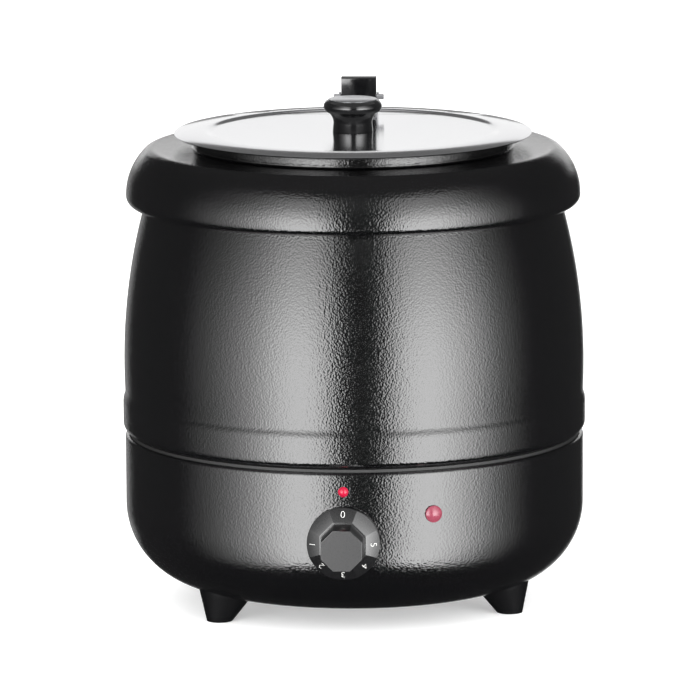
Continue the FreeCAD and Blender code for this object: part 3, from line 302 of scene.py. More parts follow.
class Slot(Enum):
    """The record's material slots, each with the finish that it takes."""

    # Gloss black hammer paint on steel: dark, with a wet shine in pebbles of 1.3 mm. Its metal flakes reflect
    # more than plain enamel does, and the IOR stands for them
    HAMMERTONE = ("hammertone", HammerPaint("hammer_paint_black", "#040405", 0.13, grain_mm=1.3, bump_mm=0.15,
                                            gloss_spread=0.03, ior=2.33))
    # Stainless steel, mirror polished by turning: bright, with faint rings
    POLISHED = ("polished_steel", SpunSheet("stainless_polished", "#DCDCDE", 0.12, 1.0, grain_mm=0.5,
                                            bump_mm=0.0015, gloss_spread=0.03, shade=0.96))
    # Stainless steel with a satin turned finish, as on a food pan
    SATIN = ("satin_steel", SpunSheet("stainless_satin", "#C9C9CB", 0.26, 1.0, grain_mm=0.6,
                                      bump_mm=0.004, shade=0.93))
    # Stainless steel wire and strip: drawn, even and bright
    DRAWN = ("satin_steel",
             Finish("stainless_drawn", "#CFCFD2", 0.2, 1.0, grain_mm=0.8, bump_mm=0.002, shade=0.92))
    # Stainless steel stamping, brushed and a little dull, on the knob
    CAP = ("polished_steel",
           Finish("stainless_brushed", "#BFC0C3", 0.26, 1.0, grain_mm=0.6, bump_mm=0.004, shade=0.9))
    # Zinc plate: bluish grey with a dull crystal mottle
    ZINC = ("zinc_steel", Finish("zinc_plate", "#B4B8BE", 0.34, 1.0, grain_mm=1.2, bump_mm=0.004, shade=0.85))
    # Pressed aluminium, mill finish: pale, soft and streaked by the press
    ALUMINIUM = ("pressed_aluminium", SpunSheet("aluminium_mill", "#C6C8CA", 0.36, 1.0, grain_mm=1.1,
                                                bump_mm=0.006, shade=0.9))
    # Sheathed heater tube: dull brownish grey oxide
    HEATER = ("heater_sheath",
              Finish("heater_oxide", "#5B5550", 0.55, 0.8, grain_mm=2.0, bump_mm=0.01, shade=0.7))
    # Phenolic moulding: deep black and polished
    BAKELITE = ("bakelite",
                Finish("phenolic_gloss_black", "#0B0B0C", 0.12, grain_mm=3.0, bump_mm=0.004, gloss_spread=0.03))
    # Moulded dial: black, with a fine spark-eroded texture and a strong sheen
    DIAL = ("dial_plastic", Finish("abs_charcoal", "#0A0A0B", 0.3, grain_mm=0.5, bump_mm=0.006, shine=0.7))
    # Dial numbers: white printing ink
    PRINT = ("dial_print", Finish("ink_white", "#C8C8C5", 0.5, grain_mm=0.8))
    # Nylon fitting: matt black with a dry grain
    NYLON = ("nylon", Finish("nylon_black", "#17171A", 0.55, grain_mm=0.6, bump_mm=0.015))
    # Moulded insulator: cream and dull
    INSULATOR = ("phenolic", Finish("insulator_cream", "#D9D2C0", 0.5, grain_mm=1.5, bump_mm=0.01))
    # Silicone gasket: black, soft and dull
    SILICONE = ("silicone", Finish("silicone_black", "#0E0E0E", 0.62, grain_mm=1.0, bump_mm=0.02))
    # Moulded foot: black rubbery plastic, nearly without sheen
    FOOT = ("foot_plastic",
            Finish("foot_plastic_black", "#050506", 0.5, grain_mm=1.2, bump_mm=0.02, shine=0.12))
    # Pilot lens: cloudy dark red, because the lamp is off
    LENS = ("lamp_red", Finish("lens_acrylic_red", "#6A2F3B", 0.18, grain_mm=4.0, shine=0.4))
    # Index stud: opaque deep red, glossy
    INDEX = ("index_red", Finish("index_red_gloss", "#8A1029", 0.14, grain_mm=2.0, shine=0.3))
    # Copper tube: drawn and slightly tarnished
    COPPER = ("copper", Finish("copper_drawn", "#C9815C", 0.3, 1.0, grain_mm=3.0, bump_mm=0.004, shade=0.75))

    @property
    def finish(self) -> Finish:
        """The finish alone."""
        return self.value[1]


# Floor: matt white sheet on a lit table, which glows so that shadows stay pale
TABLE_SHEET = Finish("table_sheet_white", "#F4F4F4", 0.8, grain_mm=40.0, shade=0.995, glow=0.36)


def arc_points(start: Vector, end: Vector, radius: float) -> list[Vector]:
    """Sample the short arc between two points, without its last point.

    Args:
        start: Where the arc begins.
        end: Where it ends.
        radius: Its radius. A positive one bulges to the right of the travel.

    Returns:
        Points from start up to, but not including, end.
    """
    chord = end - start
    side = Vector((-chord.y, chord.x)).normalized()
    away = math.sqrt(max(radius * radius - chord.length_squared / 4.0, 0.0))
    centre = (start + end) / 2.0 + side * math.copysign(away, radius)
    spoke = start - centre
    sweep = 2.0 * math.asin(min(chord.length / (2.0 * abs(radius)), 1.0)) * math.copysign(1.0, radius)
    steps = max(int(abs(sweep) / ARC_STEP), int(chord.length / ARC_LENGTH), ARC_LEAST)
    return [centre + Matrix.Rotation(sweep * step / steps, 2) @ spoke for step in range(steps)]


def outline(corners: Sequence[Corner], soften: float = 0.0) -> list[Vector]:
    """Turn corners into a closed line of points.

    Args:
        corners: (across, up), with the radius of the arc that leaves the corner as a third value.
        soften: How far, in millimetres, a sharp corner is cut back and rounded.

    Returns:
        The line's points in order.
    """
    line: list[Vector] = []
    for index, corner in enumerate(corners):
        start = Vector(corner[:2])
        end = Vector(corners[(index + 1) % len(corners)][:2])
        line += arc_points(start, end, corner[2]) if len(corner) > 2 else [start]
    if soften <= 0.0:
        return line
    smooth: list[Vector] = []
    for index, here in enumerate(line):
        back = line[index - 1] - here
        ahead = line[(index + 1) % len(line)] - here
        turn = math.pi - back.angle(ahead, math.pi)
        if turn < FACET_ANGLE or here.x < soften:
            smooth.append(here)
            continue
        reach = min(soften, back.length * CORNER_SHARE, ahead.length * CORNER_SHARE)
        enter, leave = here + back.normalized() * reach, here + ahead.normalized() * reach
        smooth += [enter, (enter + here * 2.0 + leave) / 4.0, leave]
    return smooth


def turned_mesh(name: str, corners: Sequence[Corner], soften: float = 0.0, segments: int = FINE_TURN,
                place: Matrix | None = None) -> Mesh:
    """Spin an outline of (radius, height) corners into a closed mesh.

    Args:
        name: The mesh's name.
        corners: The outline in millimetres.
        soften: How far sharp corners are rounded.
        segments: Steps round the axis.
        place: Where the mesh is put, in metres.

    Returns:
        The mesh, in metres.
    """
    points = outline(corners, soften)
    work = bmesh.new()
    ring = [work.verts.new((point.x * MM, 0.0, point.y * MM)) for point in points]
    lines = [work.edges.new((ring[index - 1], ring[index])) for index in range(len(ring))
             if max(points[index - 1].x, points[index].x) > SAME_POINT]
    bmesh.ops.spin(work, geom=ring + lines, cent=(0, 0, 0), axis=(0, 0, 1), dvec=(0, 0, 0),
                   angle=math.tau, steps=segments, use_merge=True, use_duplicate=False)
    return finished(work, name, place)


def finished(work: bmesh.types.BMesh, name: str, place: Matrix | None = None,
             smooth: float = SMOOTH_ANGLE) -> Mesh:
    """Close a mesh, turn its faces outwards and smooth its gentle bends.

    Args:
        work: The mesh that was worked on, which is freed.
        name: The new mesh's name.
        place: Where the mesh is put, in metres.
        smooth: The sharpest bend that is shaded smooth.

    Returns:
        The new mesh.
    """
    bmesh.ops.remove_doubles(work, verts=work.verts, dist=SAME_POINT)
    bmesh.ops.dissolve_degenerate(work, edges=work.edges, dist=NO_LENGTH)
    bmesh.ops.recalc_face_normals(work, faces=work.faces)
    if place is not None:
        bmesh.ops.transform(work, matrix=place, verts=work.verts)
    return smoothed(mesh_of(work, name), smooth)


def softened_mesh(node: str, width: float, faceted: bool) -> Mesh:
    """Copy a node's shape and round its edges.

    Args:
        node: The node to copy.
        width: How far its edges are rounded, in millimetres.
        faceted: True where gentle bends are edges too.

    Returns:
        The rounded mesh.
    """
    crease, smooth = (FACET_ANGLE, FACET_ANGLE) if faceted else (CREASE_ANGLE, SMOOTH_ANGLE)
    work = bmesh.new()
    work.from_mesh(frame["nodes"][node].data)
    bmesh.ops.remove_doubles(work, verts=work.verts, dist=SAME_POINT)
    bmesh.ops.dissolve_limit(work, angle_limit=FLAT_ANGLE, verts=work.verts, edges=work.edges)
    edges = [edge for edge in work.edges if edge.is_manifold and edge.calc_face_angle(0.0) > crease]
    bmesh.ops.bevel(work, geom=edges, offset=width * MM, segments=BEVEL_STEPS, profile=0.5,
                    affect="EDGES", clamp_overlap=True)
    return finished(work, node, smooth=smooth)


def outward(radius: float, bearing: float, rise: float) -> Matrix:
    """A place round the axis whose local Z points straight out, in the unit of its radius and rise."""
    turn = math.radians(bearing)
    spot = Vector((radius * math.sin(turn), -radius * math.cos(turn), rise))
    return Matrix.Translation(spot) @ Matrix.Rotation(turn, 4, "Z") @ Matrix.Rotation(math.pi / 2.0, 4, "X")


def show(name: str, mesh: Mesh, slot: Slot, body: Body, *nodes: str) -> None:
    """Put a finished mesh in the scene as a piece of the kettle.

    Args:
        name: The piece's name.
        mesh: Its mesh, in place.
        slot: The material slot, with its finish.
        body: The body it rides on.
        *nodes: The nodes that it stands for.
    """
    piece = stand(name, mesh)
    mesh.materials.clear()
    mesh.materials.append(slot.finish.material())
    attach(piece, body.value)
    if nodes:
        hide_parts(*nodes)
    LOG.info("%s: %d faces on %s", name, len(mesh.polygons), body.value)


def show_turned(name: str, corners: Sequence[Corner], soften: float, slot: Slot, body: Body, node: str,
                place: Matrix | None = None) -> None:
    """Spin a section and show it for a node: a shell on the axis or, with a place, a small piece there."""
    segments = FINE_TURN if place is None else SMALL_TURN
    show(name, turned_mesh(name, corners, soften, segments, place), slot, body, node)


def show_softened(name: str, node: str, width: float, slot: Slot, body: Body, faceted: bool = False) -> None:
    """Show a node's own shape in its place, with edges rounded by that many millimetres."""
    show(name, softened_mesh(node, width, faceted), slot, body, node)


def dress(slot: Slot, *nodes: str) -> None:
    """Give nodes that stay as they are a finish."""
    for node in nodes:
        skins = frame["nodes"][node].data.materials
        skins.clear()
        skins.append(slot.finish.material())
        LOG.info("%s: finish %s", node, slot.finish.name)


@dataclass(frozen=True)
class FastenerRing:
    """Equal fasteners round the kettle's axis."""

    count: int
    circle: float
    bearing: float
    rise: float

    def build(self, name: str, fastener: Mesh, slot: Slot) -> Mesh:
        """Set a fastener out round the ring by a node tree.

        Args:
            name: The new mesh's name.
            fastener: One fastener, on its own axis at the origin.
            slot: The slot whose finish it takes.

        Returns:
            One mesh with all the fasteners in place.
        """
        tree = bpy.data.node_groups.new(f"{name}_ring", "GeometryNodeTree")
        face = tree.interface
        inputs = {
            "Geometry": ("Geometry", None), "Count": ("Int", self.count), "Circle": ("Float", self.circle * MM),
            "Bearing": ("Float", math.radians(self.bearing)), "Rise": ("Float", self.rise * MM),
            "Finish": ("Material", slot.finish.material())}
        for label, (kind, _) in inputs.items():
            face.new_socket(label, in_out="INPUT", socket_type=f"NodeSocket{kind}")
        face.new_socket("Geometry", in_out="OUTPUT", socket_type="NodeSocketGeometry")
        given = add_node(tree, "NodeGroupInput").outputs
        circle = add_node(tree, "GeometryNodeMeshCircle", {
            "Vertices": given["Count"], "Radius": given["Circle"]})
        index = add_node(tree, "GeometryNodeInputIndex")
        share = add_node(tree, "ShaderNodeMath", {0: index, 1: given["Count"]}, operation="DIVIDE")
        angle = add_node(tree, "ShaderNodeMath", {0: share, 1: math.tau}, operation="MULTIPLY")
        lift, spin, own = (add_node(tree, "ShaderNodeCombineXYZ", {"Z": value})
                           for value in (given["Rise"], given["Bearing"], angle))
        copies = add_node(tree, "GeometryNodeInstanceOnPoints", {
            "Points": circle, "Instance": given["Geometry"], "Rotation": own})
        joined = add_node(tree, "GeometryNodeRealizeInstances", {"Geometry": copies})
        placed = add_node(tree, "GeometryNodeTransform", {
            "Geometry": joined, "Translation": lift, "Rotation": spin})
        coated = add_node(tree, "GeometryNodeSetMaterial", {"Geometry": placed, "Material": given["Finish"]})
        add_node(tree, "NodeGroupOutput", {"Geometry": coated})

        carrier = stand(f"{name}_carrier", fastener)
        modifier = carrier.modifiers.new("ring", "NODES")
        modifier.node_group = tree
        for item in face.items_tree:
            if item.in_out == "INPUT" and inputs[item.name][1] is not None:
                modifier[item.identifier] = inputs[item.name][1]
        mesh = plain_mesh(carrier)
        mesh.name = name
        return mesh


@dataclass(frozen=True)
class CrossScrew:
    """A pan-headed screw with a cross recess, head down at the origin and shank up."""

    name: str
    head: float
    head_height: float
    shank: float
    length: float
    # Shares: crown and recess of the head's radius, side of its height, tip of the shank's radius
    crown: float = 0.55
    crown_bend: float = 0.8
    side: float = 0.3
    tip: float = 0.5
    recess_long: float = 1.1
    recess_slim: float = 0.24

    def build(self) -> Mesh:
        """Turn the screw and sink its cross.

        Returns:
            The screw's mesh.
        """
        blank = stand(f"{self.name}_blank", turned_mesh(self.name, self.section(), 0.0, SCREW_TURN))
        cutter = stand(f"{self.name}_cutter", self.cross())
        recess = blank.modifiers.new("recess", "BOOLEAN")
        recess.object = cutter
        recess.use_self = True
        mesh = plain_mesh(blank)
        bpy.data.objects.remove(cutter)
        return smoothed(mesh)

    def section(self) -> list[Corner]:
        """The screw's section, without the cross."""
        head, high, shank = self.head, self.head_height, self.shank
        tip = shank * self.tip
        return [(0.0, -high), (head * self.crown, -high, head * self.crown_bend), (head, -high * self.side),
                (head, 0.0), (shank, 0.0), (shank, self.length - tip), (tip, self.length), (0.0, self.length)]

    def cross(self) -> Mesh:
        """Two bars across the top of the head."""
        long, slim = self.head * self.recess_long, self.head * self.recess_slim
        centre = Matrix.Translation((0, 0, -self.head_height * MM))
        work = bmesh.new()
        for size in ((long, slim, self.head_height), (slim, long, self.head_height)):
            bar = bmesh.ops.create_cube(work, size=1.0)
            shape = centre @ Matrix.Diagonal((*[side * MM for side in size], 1.0))
            bmesh.ops.transform(work, matrix=shape, verts=bar["verts"])
        return mesh_of(work, f"{self.name}_cross")


def shell(start: float, radius: float, low: float, bend: float, wall: float,
          upper: Sequence[Corner]) -> list[Corner]:
    """The section of a sheet that runs out from its start, bends up and goes on, and the way back inside."""
    return [(start, low), (radius - bend, low, bend), (radius, low + bend), *upper,
            (radius - wall, low + bend, wall - bend), (radius - bend, low + wall), (start, low + wall)]


@dataclass
class Jacket:
    """The painted outside: base bowl, barrel with its raised band, and collar with the neck."""

    wall: float = 1.2
    bowl_radius: float = 168.5
    bowl_floor: float = 17.0
    bowl_corner: float = 59.0
    bowl_rim: float = 127.0
    rim_roll: float = 2.5
    seam_inner: float = 156.0
    opening: float = 62.0
    barrel_foot: float = 129.0
    band_radius: float = 170.0
    band_roll: float = 7.0
    band_top: float = 153.0
    belly: float = 168.4
    belly_height: float = 157.5
    bow: float = 438.0
    neck: float = 155.5
    tuck: float = 152.2
    tuck_height: float = 299.5
    lip: float = 321.0
    flange_inner: float = 132.0
    collar_radius: float = 166.5
    collar_bow: float = 45.0
    collar_low: float = 296.8
    collar_waist: float = 304.0
    collar_top: float = 338.617
    collar_flat: float = 145.983
    collar_blend: float = 8.0
    shoulder_turn: float = 46.0
    lip_inner: float = 155.9
    lip_roll: float = 7.0
    pot_neck: float = 116.6
    pot_neck_top: float = 346.017
    neck_fillet: float = 2.0
    edge: float = 0.5
    band_edge: float = 2.0

    def build(self) -> None:
        """Make and show the three painted shells and the gasket between them."""
        for name, section, soften, node in (
                ("painted_bowl", self.bowl(), self.edge, "base_bowl"),
                ("painted_barrel", self.barrel(), self.band_edge, "barrel_shell"),
                ("painted_collar", self.collar(), self.edge, "collar")):
            show_turned(name, section, soften, Slot.HAMMERTONE, Body.KETTLE, node)
        dress(Slot.SILICONE, "seam_gasket")
        dress(Slot.ZINC, "seam_nuts", "collar_studs", "collar_spacers", "collar_nuts")

    def bowl(self) -> list[Corner]:
        """The bowl's section."""
        wall, radius, roll = self.wall, self.bowl_radius, self.rim_roll
        rim, seam = self.bowl_rim, self.seam_inner
        return shell(self.opening, radius, self.bowl_floor, self.bowl_corner, wall, [
            (radius, rim - roll, roll), (radius - roll, rim), (seam, rim), (seam, rim - wall),
            (radius - roll, rim - wall, wall - roll), (radius - wall, rim - roll)])

    def barrel(self) -> list[Corner]:
        """The barrel's section."""
        wall, band, neck, lip = self.wall, self.band_radius, self.neck, self.lip
        tuck, ledge, inner = self.tuck, self.tuck_height, self.flange_inner
        return shell(self.seam_inner, band, self.barrel_foot, self.band_roll, wall, [
            (band, self.band_top), (self.belly, self.belly_height, self.bow), (tuck, ledge), (neck, ledge),
            (neck, lip), (inner, lip), (inner, lip - wall), (neck - wall, lip - wall),
            (neck - wall, ledge + wall), (tuck - wall, ledge + wall), (tuck - wall, ledge, wall - self.bow),
            (self.belly - wall, self.belly_height), (band - wall, self.band_top)])

    def collar(self) -> list[Corner]:
        """The collar's section."""
        wall, radius, bow, waist = self.wall, self.collar_radius, self.collar_bow, self.collar_waist
        neck, neck_top, top, fillet = self.pot_neck, self.pot_neck_top, self.collar_top, self.neck_fillet
        turn = math.radians(self.shoulder_turn)
        across, up = math.cos(turn), math.sin(turn)
        centre, inner_bow = radius - bow, bow - wall
        return shell(self.lip_inner, radius, self.collar_low, self.lip_roll, wall, [
            (radius, waist, bow), (centre + bow * across, waist + bow * up, self.collar_blend),
            (self.collar_flat, top), (neck + fillet, top, -fillet), (neck, top + fillet), (neck, neck_top),
            (neck - wall, neck_top), (neck - wall, top + fillet, fillet + wall), (neck + fillet, top - wall),
            (self.collar_flat, top - wall, wall - self.collar_blend),
            (centre + inner_bow * across, waist + inner_bow * up, -inner_bow), (radius - wall, waist)])


@dataclass
class WaterBath:
    """The well, the lift-out pot and the heater under them."""

    well_wall: float = 1.0
    well_radius: float = 128.0
    well_floor: float = 95.0
    well_corner: float = 15.0
    well_rim: float = 149.0
    well_lip: float = 323.0
    pot_radius: float = 113.8
    pot_wall: float = 0.8
    pot_floor: float = 110.0
    pot_corner: float = 12.0
    pot_seat: float = 346.017
    rim_width: float = 5.7
    rim_height: float = 3.4
    rim_round: float = 1.5
    edge: float = 0.3

    def build(self) -> None:
        """Make and show the well and the pot, and finish what lies under them."""
        show_turned("pressed_well", self.well(), self.edge, Slot.ALUMINIUM, Body.KETTLE, "water_well")
        show_turned("spun_pot", self.pot(), self.edge, Slot.SATIN, Body.POT, "soup_pot")
        dress(Slot.SILICONE, "well_gasket")
        dress(Slot.HEATER, "heating_element")
        dress(Slot.ZINC, "element_clamp", "well_stud", "stud_nuts", "heat_shield")

    def well(self) -> list[Corner]:
        """The well's section."""
        wall, radius, rim, lip = self.well_wall, self.well_radius, self.well_rim, self.well_lip
        return shell(0.0, radius, self.well_floor, self.well_corner, wall, [
            (radius, lip - wall), (rim, lip - wall), (rim, lip), (radius - wall, lip)])

    def pot(self) -> list[Corner]:
        """The pot's section."""
        wall, radius, seat, bend = self.pot_wall, self.pot_radius, self.pot_seat, self.rim_round
        rim, top = radius + self.rim_width, seat + self.rim_height
        return shell(0.0, radius, self.pot_floor, self.pot_corner, wall, [
            (radius, seat), (rim, seat), (rim, top - bend, bend), (rim - bend, top), (radius - wall, top)])


@dataclass
class Lid:
    """The split lid, its hinge and its knob."""

    radius: float = 131.0
    wall: float = 0.8
    disc: float = 101.0
    step_width: float = 8.0
    step_rise: float = 1.6
    edge_drop: float = 1.9
    base: float = 348.502
    split: float = 88.0
    split_gap: float = 0.8
    knob_base: float = 14.8
    knob_waist: float = 14.2
    knob_waist_at: float = 6.5
    knob_waist_bend: float = 9.7
    knob_lip: float = 21.3
    knob_lip_at: float = 18.6
    knob_lip_root: float = 17.9
    knob_lip_low: float = 14.1
    knob_lip_under: float = 4.7
    knob_lip_over: float = 5.2
    knob_top: float = 18.5
    knob_height: float = 23.2
    cap_radius: float = 17.8
    cap_thickness: float = 0.8
    edge: float = 0.25
    block_edge: float = 0.5
    bracket_edge: float = 0.2
    pin_edge: float = 0.5
    rivet_edge: float = 0.7
    knob_edge: float = 0.4
    cap_edge: float = 0.3

    def build(self) -> None:
        """Make and show the lid's two parts, the hinge and the knob."""
        half = self.split_gap / 2.0
        flap = self.half_disc("polished_flap", self.split - half, keep_front=True)
        rear = self.half_disc("polished_rear", self.split + half, keep_front=False)
        show("polished_flap", flap, Slot.POLISHED, Body.LID_FRONT, "lid_flap")
        show("polished_rear", rear, Slot.POLISHED, Body.LID_BACK, "lid_rear_segment")
        show_softened("hinge_moulding", "hinge_block", self.block_edge, Slot.BAKELITE, Body.LID_BACK)
        show_softened("eared_bracket", "hinge_bracket", self.bracket_edge, Slot.DRAWN, Body.LID_FRONT)
        show_softened("rounded_pin", "hinge_pin", self.pin_edge, Slot.DRAWN, Body.LID_BACK)
        show_softened("domed_rivets", "bracket_rivets", self.rivet_edge, Slot.DRAWN, Body.LID_FRONT)
        seat = Matrix.Translation((0, 0, (self.base + self.wall) * MM))
        show_turned("waisted_knob", self.knob(), self.knob_edge, Slot.BAKELITE, Body.LID_FRONT, "lid_knob",
                    seat)
        show_turned("bright_cap", self.cap(), self.cap_edge, Slot.CAP, Body.LID_FRONT, "knob_cap", seat)
        dress(Slot.DRAWN, "block_screws", "knob_washer", "knob_screw")

    def section(self) -> list[Corner]:
        """The dished lid's section."""
        width, rise = self.step_width, self.step_rise
        bend = (width * width + rise * rise) / (rise * 4.0)
        middle, outer = self.disc + width / 2.0, self.disc + width
        low, high = self.base, self.base + self.wall
        lip_low, lip_high = low + rise - self.edge_drop, high + rise - self.edge_drop
        return [
            (0.0, low), (self.disc, low, bend), (middle, low + rise / 2.0, -bend), (outer, low + rise),
            (self.radius - self.wall, lip_low), (self.radius, lip_high),
            (outer, high + rise, bend), (middle, high + rise / 2.0, -bend), (self.disc, high), (0.0, high),
        ]

    def half_disc(self, name: str, chord: float, keep_front: bool) -> Mesh:
        """Cut the lid along a chord and keep one side.

        Args:
            name: The mesh's name.
            chord: The cut's distance behind the axis, in millimetres.
            keep_front: True for the side with the axis.

        Returns:
            The closed mesh of that side.
        """
        work = bmesh.new()
        whole = turned_mesh(f"{name}_whole", self.section(), self.edge)
        work.from_mesh(whole)
        bpy.data.meshes.remove(whole)
        found = bmesh.ops.bisect_plane(
            work, geom=[*work.verts, *work.edges, *work.faces], dist=NO_LENGTH,
            plane_co=(0.0, chord * MM, 0.0), plane_no=(0.0, 1.0, 0.0), clear_outer=keep_front,
            clear_inner=not keep_front)
        rim = [item for item in found["geom_cut"] if isinstance(item, bmesh.types.BMEdge)]
        bmesh.ops.triangle_fill(work, edges=rim, use_beauty=True)
        return finished(work, name)

    def knob(self) -> list[Corner]:
        """The knob's section, from its own foot."""
        return [
            (0.0, 0.0), (self.knob_base, 0.0),
            (self.knob_waist, self.knob_waist_at, -self.knob_waist_bend),
            (self.knob_lip_root, self.knob_lip_low, self.knob_lip_under),
            (self.knob_lip, self.knob_lip_at, self.knob_lip_over),
            (self.knob_top, self.knob_height), (0.0, self.knob_height),
        ]

    def cap(self) -> list[Corner]:
        """The section of the bright disc on the knob."""
        rim, low, top = self.cap_radius, self.knob_height, self.knob_height + self.cap_thickness
        return [(0.0, low), (rim, low), (rim, top), (0.0, top)]


@dataclass(frozen=True)
class Button:
    """A domed button on the bowl, with a shank behind it."""

    bearing: float
    rise: float
    rim: float
    edge: float
    dome: float
    shank: float
    depth: float
    soft: float

    def section(self) -> list[Corner]:
        """The button's section, from the face that it stands on."""
        rim, edge, dome, shank, depth = self.rim, self.edge, self.dome, self.shank, self.depth
        bend = (rim * rim + dome * dome) / (dome * 2.0)
        return [(0.0, -depth), (shank, -depth), (shank, 0.0), (rim, 0.0), (rim, edge, bend), (0.0, edge + dome)]


@dataclass
class Controls:
    """The dial with its printed numbers, the index stud and the pilot lamp."""

    bowl_radius: float = 168.5
    dial_height: float = 76.5
    dial_gap: float = 1.0
    skirt_flat: float = 26.275
    skirt_edge: float = 2.5
    skirt_waist: float = 16.5
    skirt_height: float = 9.0
    print_reach: float = 21.7
    print_size: float = 7.6
    print_depth: float = 0.06
    print_thin: float = 0.18
    numbers: tuple[tuple[str, float], ...] = (
        ("0", 0.0), ("1", 90.0), ("2", 135.0), ("3", 180.0), ("4", 225.0), ("5", 270.0))
    lens: Button = Button(bearing=22.3, rise=95.5, rim=6.2, edge=1.4, dome=2.4, shank=4.6, depth=9.0, soft=0.4)
    stud: Button = Button(bearing=0.0, rise=113.5, rim=3.75, edge=0.3, dome=2.4, shank=1.5, depth=5.0, soft=0.2)
    dial_soft: float = 0.3

    def build(self) -> None:
        """Make and show the dial, its numbers, the stud and the lens."""
        show_softened("faceted_dial", "control_knob", self.dial_soft, Slot.DIAL, Body.CONTROL, faceted=True)
        show("dial_numbers", self.printed(), Slot.PRINT, Body.CONTROL)
        for name, button, slot, node in (("domed_lens", self.lens, Slot.LENS, "pilot_lens"),
                                         ("domed_index", self.stud, Slot.INDEX, "index_stud")):
            show_turned(name, button.section(), button.soft, slot, Body.KETTLE, node,
                        self.on_bowl(button.bearing, button.rise))
        dress(Slot.ZINC, "thermostat_saddle", "thermostat_screws", "thermostat_spindle")
        dress(Slot.INSULATOR, "thermostat_body", "pilot_lamp")
        dress(Slot.COPPER, "sensor_bulb", "capillary_tube")

    def on_bowl(self, bearing: float, rise: float, gap: float = 0.0) -> Matrix:
        """A place on the bowl, or that far in front of it, facing out."""
        return outward((self.bowl_radius + gap) * MM, bearing, rise * MM)

    def printed(self) -> Mesh:
        """Lay the numbers on the skirt's facets, their tops outwards.

        Returns:
            One mesh of all the numbers.
        """
        dial = self.on_bowl(0.0, self.dial_height, self.dial_gap)
        run, drop = self.skirt_flat - self.skirt_waist, self.skirt_height - self.skirt_edge
        slope = math.atan2(drop, run)
        lift = self.skirt_edge + (self.skirt_flat - self.print_reach) / run * drop
        work = bmesh.new()
        spot = Matrix.Translation((0.0, self.print_reach * MM, lift * MM)) @ Matrix.Rotation(-slope, 4, "X")
        for text, turn in self.numbers:
            mesh = self.number_mesh(text)
            mesh.transform(dial @ Matrix.Rotation(math.radians(turn), 4, "Z") @ spot)
            work.from_mesh(mesh)
            bpy.data.meshes.remove(mesh)
        return finished(work, "dial_numbers")

    def number_mesh(self, text: str) -> Mesh:
        """One number as a thin plate, centred on the origin and facing +Z."""
        curve = bpy.data.curves.new(f"number_{text}", "FONT")
        curve.body = text
        curve.size = self.print_size * MM
        curve.extrude = self.print_depth * MM
        curve.offset = -self.print_thin * MM
        curve.align_x = "CENTER"
        curve.align_y = "CENTER"
        mesh = plain_mesh(stand(f"number_{text}", curve))
        bpy.data.curves.remove(curve)
        return mesh


@dataclass
class Underside:
    """The feet, the vented cover with its screws, and the cord gland at the rear."""

    cover_ring: FastenerRing = FastenerRing(count=4, circle=67.0, bearing=45.0, rise=15.8)
    cover_screw: CrossScrew = CrossScrew("cover_screw", head=4.0, head_height=2.0, shank=2.0, length=7.0)
    seam_ring: FastenerRing = FastenerRing(count=6, circle=159.35, bearing=0.0, rise=125.8)
    seam_screw: CrossScrew = CrossScrew("seam_screw", head=3.2, head_height=2.0, shank=2.0, length=9.4)
    foot_edge: float = 0.8
    cover_edge: float = 0.25
    bush_edge: float = 0.4
    dome_edge: float = 0.5

    def build(self) -> None:
        """Make and show the feet, the screws and the gland."""
        for node in ("foot_left", "foot_right", "foot_rear"):
            show_softened(f"moulded_{node}", node, self.foot_edge, Slot.FOOT, Body.KETTLE)
        for name, ring, screw, node in (
                ("cross_cover_screws", self.cover_ring, self.cover_screw, "cover_screws"),
                ("cross_seam_screws", self.seam_ring, self.seam_screw, "seam_screws")):
            show(name, ring.build(name, screw.build(), Slot.ZINC), Slot.ZINC, Body.KETTLE, node)
        show_softened("vented_cover", "bottom_cover", self.cover_edge, Slot.HAMMERTONE, Body.KETTLE)
        show_softened("gland_bush", "gland_body", self.bush_edge, Slot.NYLON, Body.KETTLE)
        show_softened("gland_dome", "gland_cap", self.dome_edge, Slot.NYLON, Body.KETTLE)
        dress(Slot.NYLON, "gland_locknut")
        dress(Slot.INSULATOR, "terminal_block")
        dress(Slot.ZINC, "foot_bolts", "foot_nuts")


class Falls(Enum):
    """What a light falls on: a dark finish needs far more light than a mirror does."""

    ALL = "all"
    PAINT = "paint"
    METAL = "metal"
    REST = "rest"
    UNPAINTED = "unpainted"


Receivers = dict[Falls, bpy.types.Collection]


